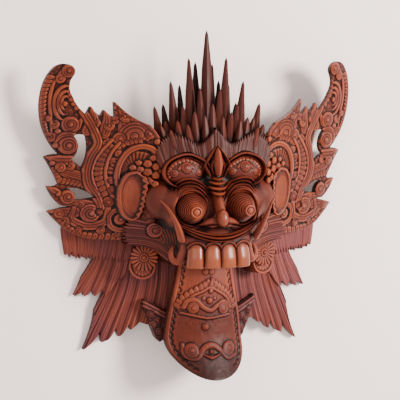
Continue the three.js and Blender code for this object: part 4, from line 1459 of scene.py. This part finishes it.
def settle_stain():
    places, faces, start = [], [], 0
    for piece in pieces:
        mesh = piece.data
        co = np.empty(3 * len(mesh.vertices))
        mesh.vertices.foreach_get("co", co)
        places.append(co.reshape(-1, 3) / MM)
        faces += [[start + i for i in p.vertices] for p in mesh.polygons]
        start += len(mesh.vertices)
    tree = BVHTree.FromPolygons(np.vstack(places).tolist(), faces)
    golden = math.pi * (3 - math.sqrt(5))
    rays = []
    for k in range(OCCLUSION_RAYS):  # spread evenly over a sphere
        z = 1 - (k + 0.5) / (OCCLUSION_RAYS / 2)
        flat = math.sqrt(1 - z * z)
        rays.append(Vector((flat * math.cos(golden * k), flat * math.sin(golden * k), z)))
    for piece in swept_pieces:
        vertices = piece.data.vertices
        stain = np.empty(len(vertices))
        for v in vertices:
            start_at = v.co / MM + v.normal * 0.3
            met = 0.0
            for ray in rays:
                way = ray if ray.dot(v.normal) > 0 else -ray
                distance = tree.ray_cast(start_at, way, RAY_REACH)[3]
                if distance is not None:
                    met += 1 - distance / RAY_REACH
            stain[v.index] = met / OCCLUSION_RAYS
        stain = 1.5 * stain - 0.42 + MORE_STAIN.get(piece.name, 0)
        x, y, z = (np.array([v.co[k] for v in vertices]) / MM for k in range(3))
        if piece.name == "crown":  # painted shade: the rows behind are darker, as if in the shade of the rows in front
            stain += 0.46 + 0.3 * (1 - smooth_step(69, 84, z)) + 0.15 * (1 - smooth_step(84, 116, z))
        if piece.name == "eyes":  # painted light: the pupil is made lighter, as a painted highlight, and the outer rings darker, as painted shade
            outer = np.hypot(np.abs(x) - EYE[0], y - SHIFT_Y - EYE[1])
            stain = 0.6 * stain + 0.4 * smooth_step(8, 19, outer) - 0.5
        piece.data.attributes["stain"].data.foreach_set("value", stain)
    print("stain settled on", len(swept_pieces), "pieces")


settle_stain()

# %% [markdown]
# Finish: suar-type hardwood, stained reddish brown, the stain wiped off the high places and left in the cuts, then
# oiled and rubbed by hand to a soft gloss. All three finishes below are this one wood. A colour ramp runs from the
# wiped wood to the full stain, and it also turns the painted light and shade that some pieces carry with their stain
# into colour. Three patterns lie over it, each worked out from a real size.

# %% The wood
STAIN_STOPS = (0.0, 0.3, 0.5, 0.72, 1.0)
PORE = 2.381  # mm from one line of pores to the next, across the grain
PORE_DRAWN = 0.09  # the lines run eleven times as far along the grain, which stands upright in the mask
RUBBED_PATCH = 45.45  # mm, patches where the cloth took a little more or less off
HUE_PATCH = 62.5  # mm, over which heartwood leans to orange or to plum
ORANGE, PLUM = "#ffe8c6", "#f0e6f4"
PORE_DEPTH = 0.4 * MM


def add_node(material, kind, links=(), **settings):
    """Adds one node with its settings (in_ sets an input), and links (own input, other node, its output)."""
    node = material.node_tree.nodes.new(kind)
    for key, value in settings.items():
        if key.startswith("in_"):
            own = key[3:]
            node.inputs[int(own) if own.isdigit() else own].default_value = value
        else:
            setattr(node, key, value)
    for own, other, output in links:
        material.node_tree.links.new(other.outputs[output], node.inputs[own])
    return node


def stretch(material, other, output, low, high, to_low=0.0, to_high=1.0):
    """Stretches another node's values from one range to another."""
    ends = {"in_From Min": low, "in_From Max": high, "in_To Min": to_low, "in_To Max": to_high}
    return add_node(material, "ShaderNodeMapRange", [("Value", other, output)], **ends)


def make_wood(name, tones, roughness, gloss):
    material = bpy.data.materials.new(name)
    material.use_nodes = True
    shader = material.node_tree.nodes["Principled BSDF"]
    shader.inputs["Roughness"].default_value = roughness
    shader.inputs["IOR"].default_value = 1.5
    shader.inputs["Specular IOR Level"].default_value = gloss
    place = add_node(material, "ShaderNodeTexCoord")
    stain = add_node(material, "ShaderNodeAttribute", attribute_name="stain")
    tone = add_node(material, "ShaderNodeValToRGB", [("Fac", stretch(material, stain, "Fac", -0.6, 0.8), "Result")])
    stops = tone.color_ramp.elements
    for position in STAIN_STOPS[1:-1]:
        stops.new(position)
    for stop, position, colour in zip(stops, STAIN_STOPS, tones):
        stop.position, stop.color = position, (*linear(colour), 1)
    drawn = add_node(material, "ShaderNodeMapping", [("Vector", place, "Object")], in_Scale=(1, PORE_DRAWN, 1))
    grain, rubbed, broad = (
        add_node(material, "ShaderNodeTexNoise", [("Vector", other, output)], in_Scale=1000 / size, in_Detail=detail)
        for other, output, size, detail in (
            (drawn, "Vector", PORE, 4), (place, "Object", RUBBED_PATCH, 3), (place, "Object", HUE_PATCH, 2)))
    both = add_node(material, "ShaderNodeMath", [(0, grain, "Fac"), (1, rubbed, "Fac")], operation="ADD")
    hue = add_node(material, "ShaderNodeMix", [("Factor", stretch(material, broad, "Fac", 0.38, 0.62), "Result")],
                   data_type="RGBA", in_6=(*linear(ORANGE), 1), in_7=(*linear(PLUM), 1))
    colour = tone
    for other, output in ((hue, 2), (stretch(material, both, "Value", 0.7, 1.3, 0.88, 1.12), "Result")):
        links = [(6, colour, 2 if colour is not tone else "Color"), (7, other, output)]
        colour = add_node(material, "ShaderNodeMix", links, data_type="RGBA", blend_type="MULTIPLY", in_Factor=1)
    sheen = stretch(material, rubbed, "Fac", 0.3, 0.7, roughness - 0.06, roughness + 0.1)
    bump = add_node(material, "ShaderNodeBump", [("Height", grain, "Fac")], in_Strength=0.35, in_Distance=PORE_DEPTH)
    for own, other, output in (("Base Color", colour, 2), ("Roughness", sheen, "Result"), ("Normal", bump, "Normal")):
        material.node_tree.links.new(other.outputs[output], shader.inputs[own])
    return material


# carved, stained and wiped, then oiled: warm and half matt, with dark lines that make every cut readable
oiled = make_wood("oiled_suar_wood", ("#854530", "#5f2a1e", "#461d15", "#290d08", "#110302"), 0.46, 0.17)
# combed with a small gouge and wiped less: duller and more purple, so that the hair lies back behind the face
darker = make_wood("dark_stained_suar_wood", ("#7d4540", "#5b2c29", "#441d1b", "#290e0c", "#110303"), 0.5, 0.15)
# rubbed with a cloth until it shines: clear soft highlights, which draw the eye to the teeth and the nose
polished = make_wood("polished_suar_wood", ("#8c4c2b", "#71341d", "#5a2816", "#36140b", "#1c0804"), 0.28, 0.38)
for piece in pieces:
    hairy = piece.name.startswith(("hair", "tuft", "garland"))
    piece.data.materials.append(polished if piece.name in ("teeth", "nose_tip") else darker if hairy else oiled)
print("wood on", len(pieces), "pieces")
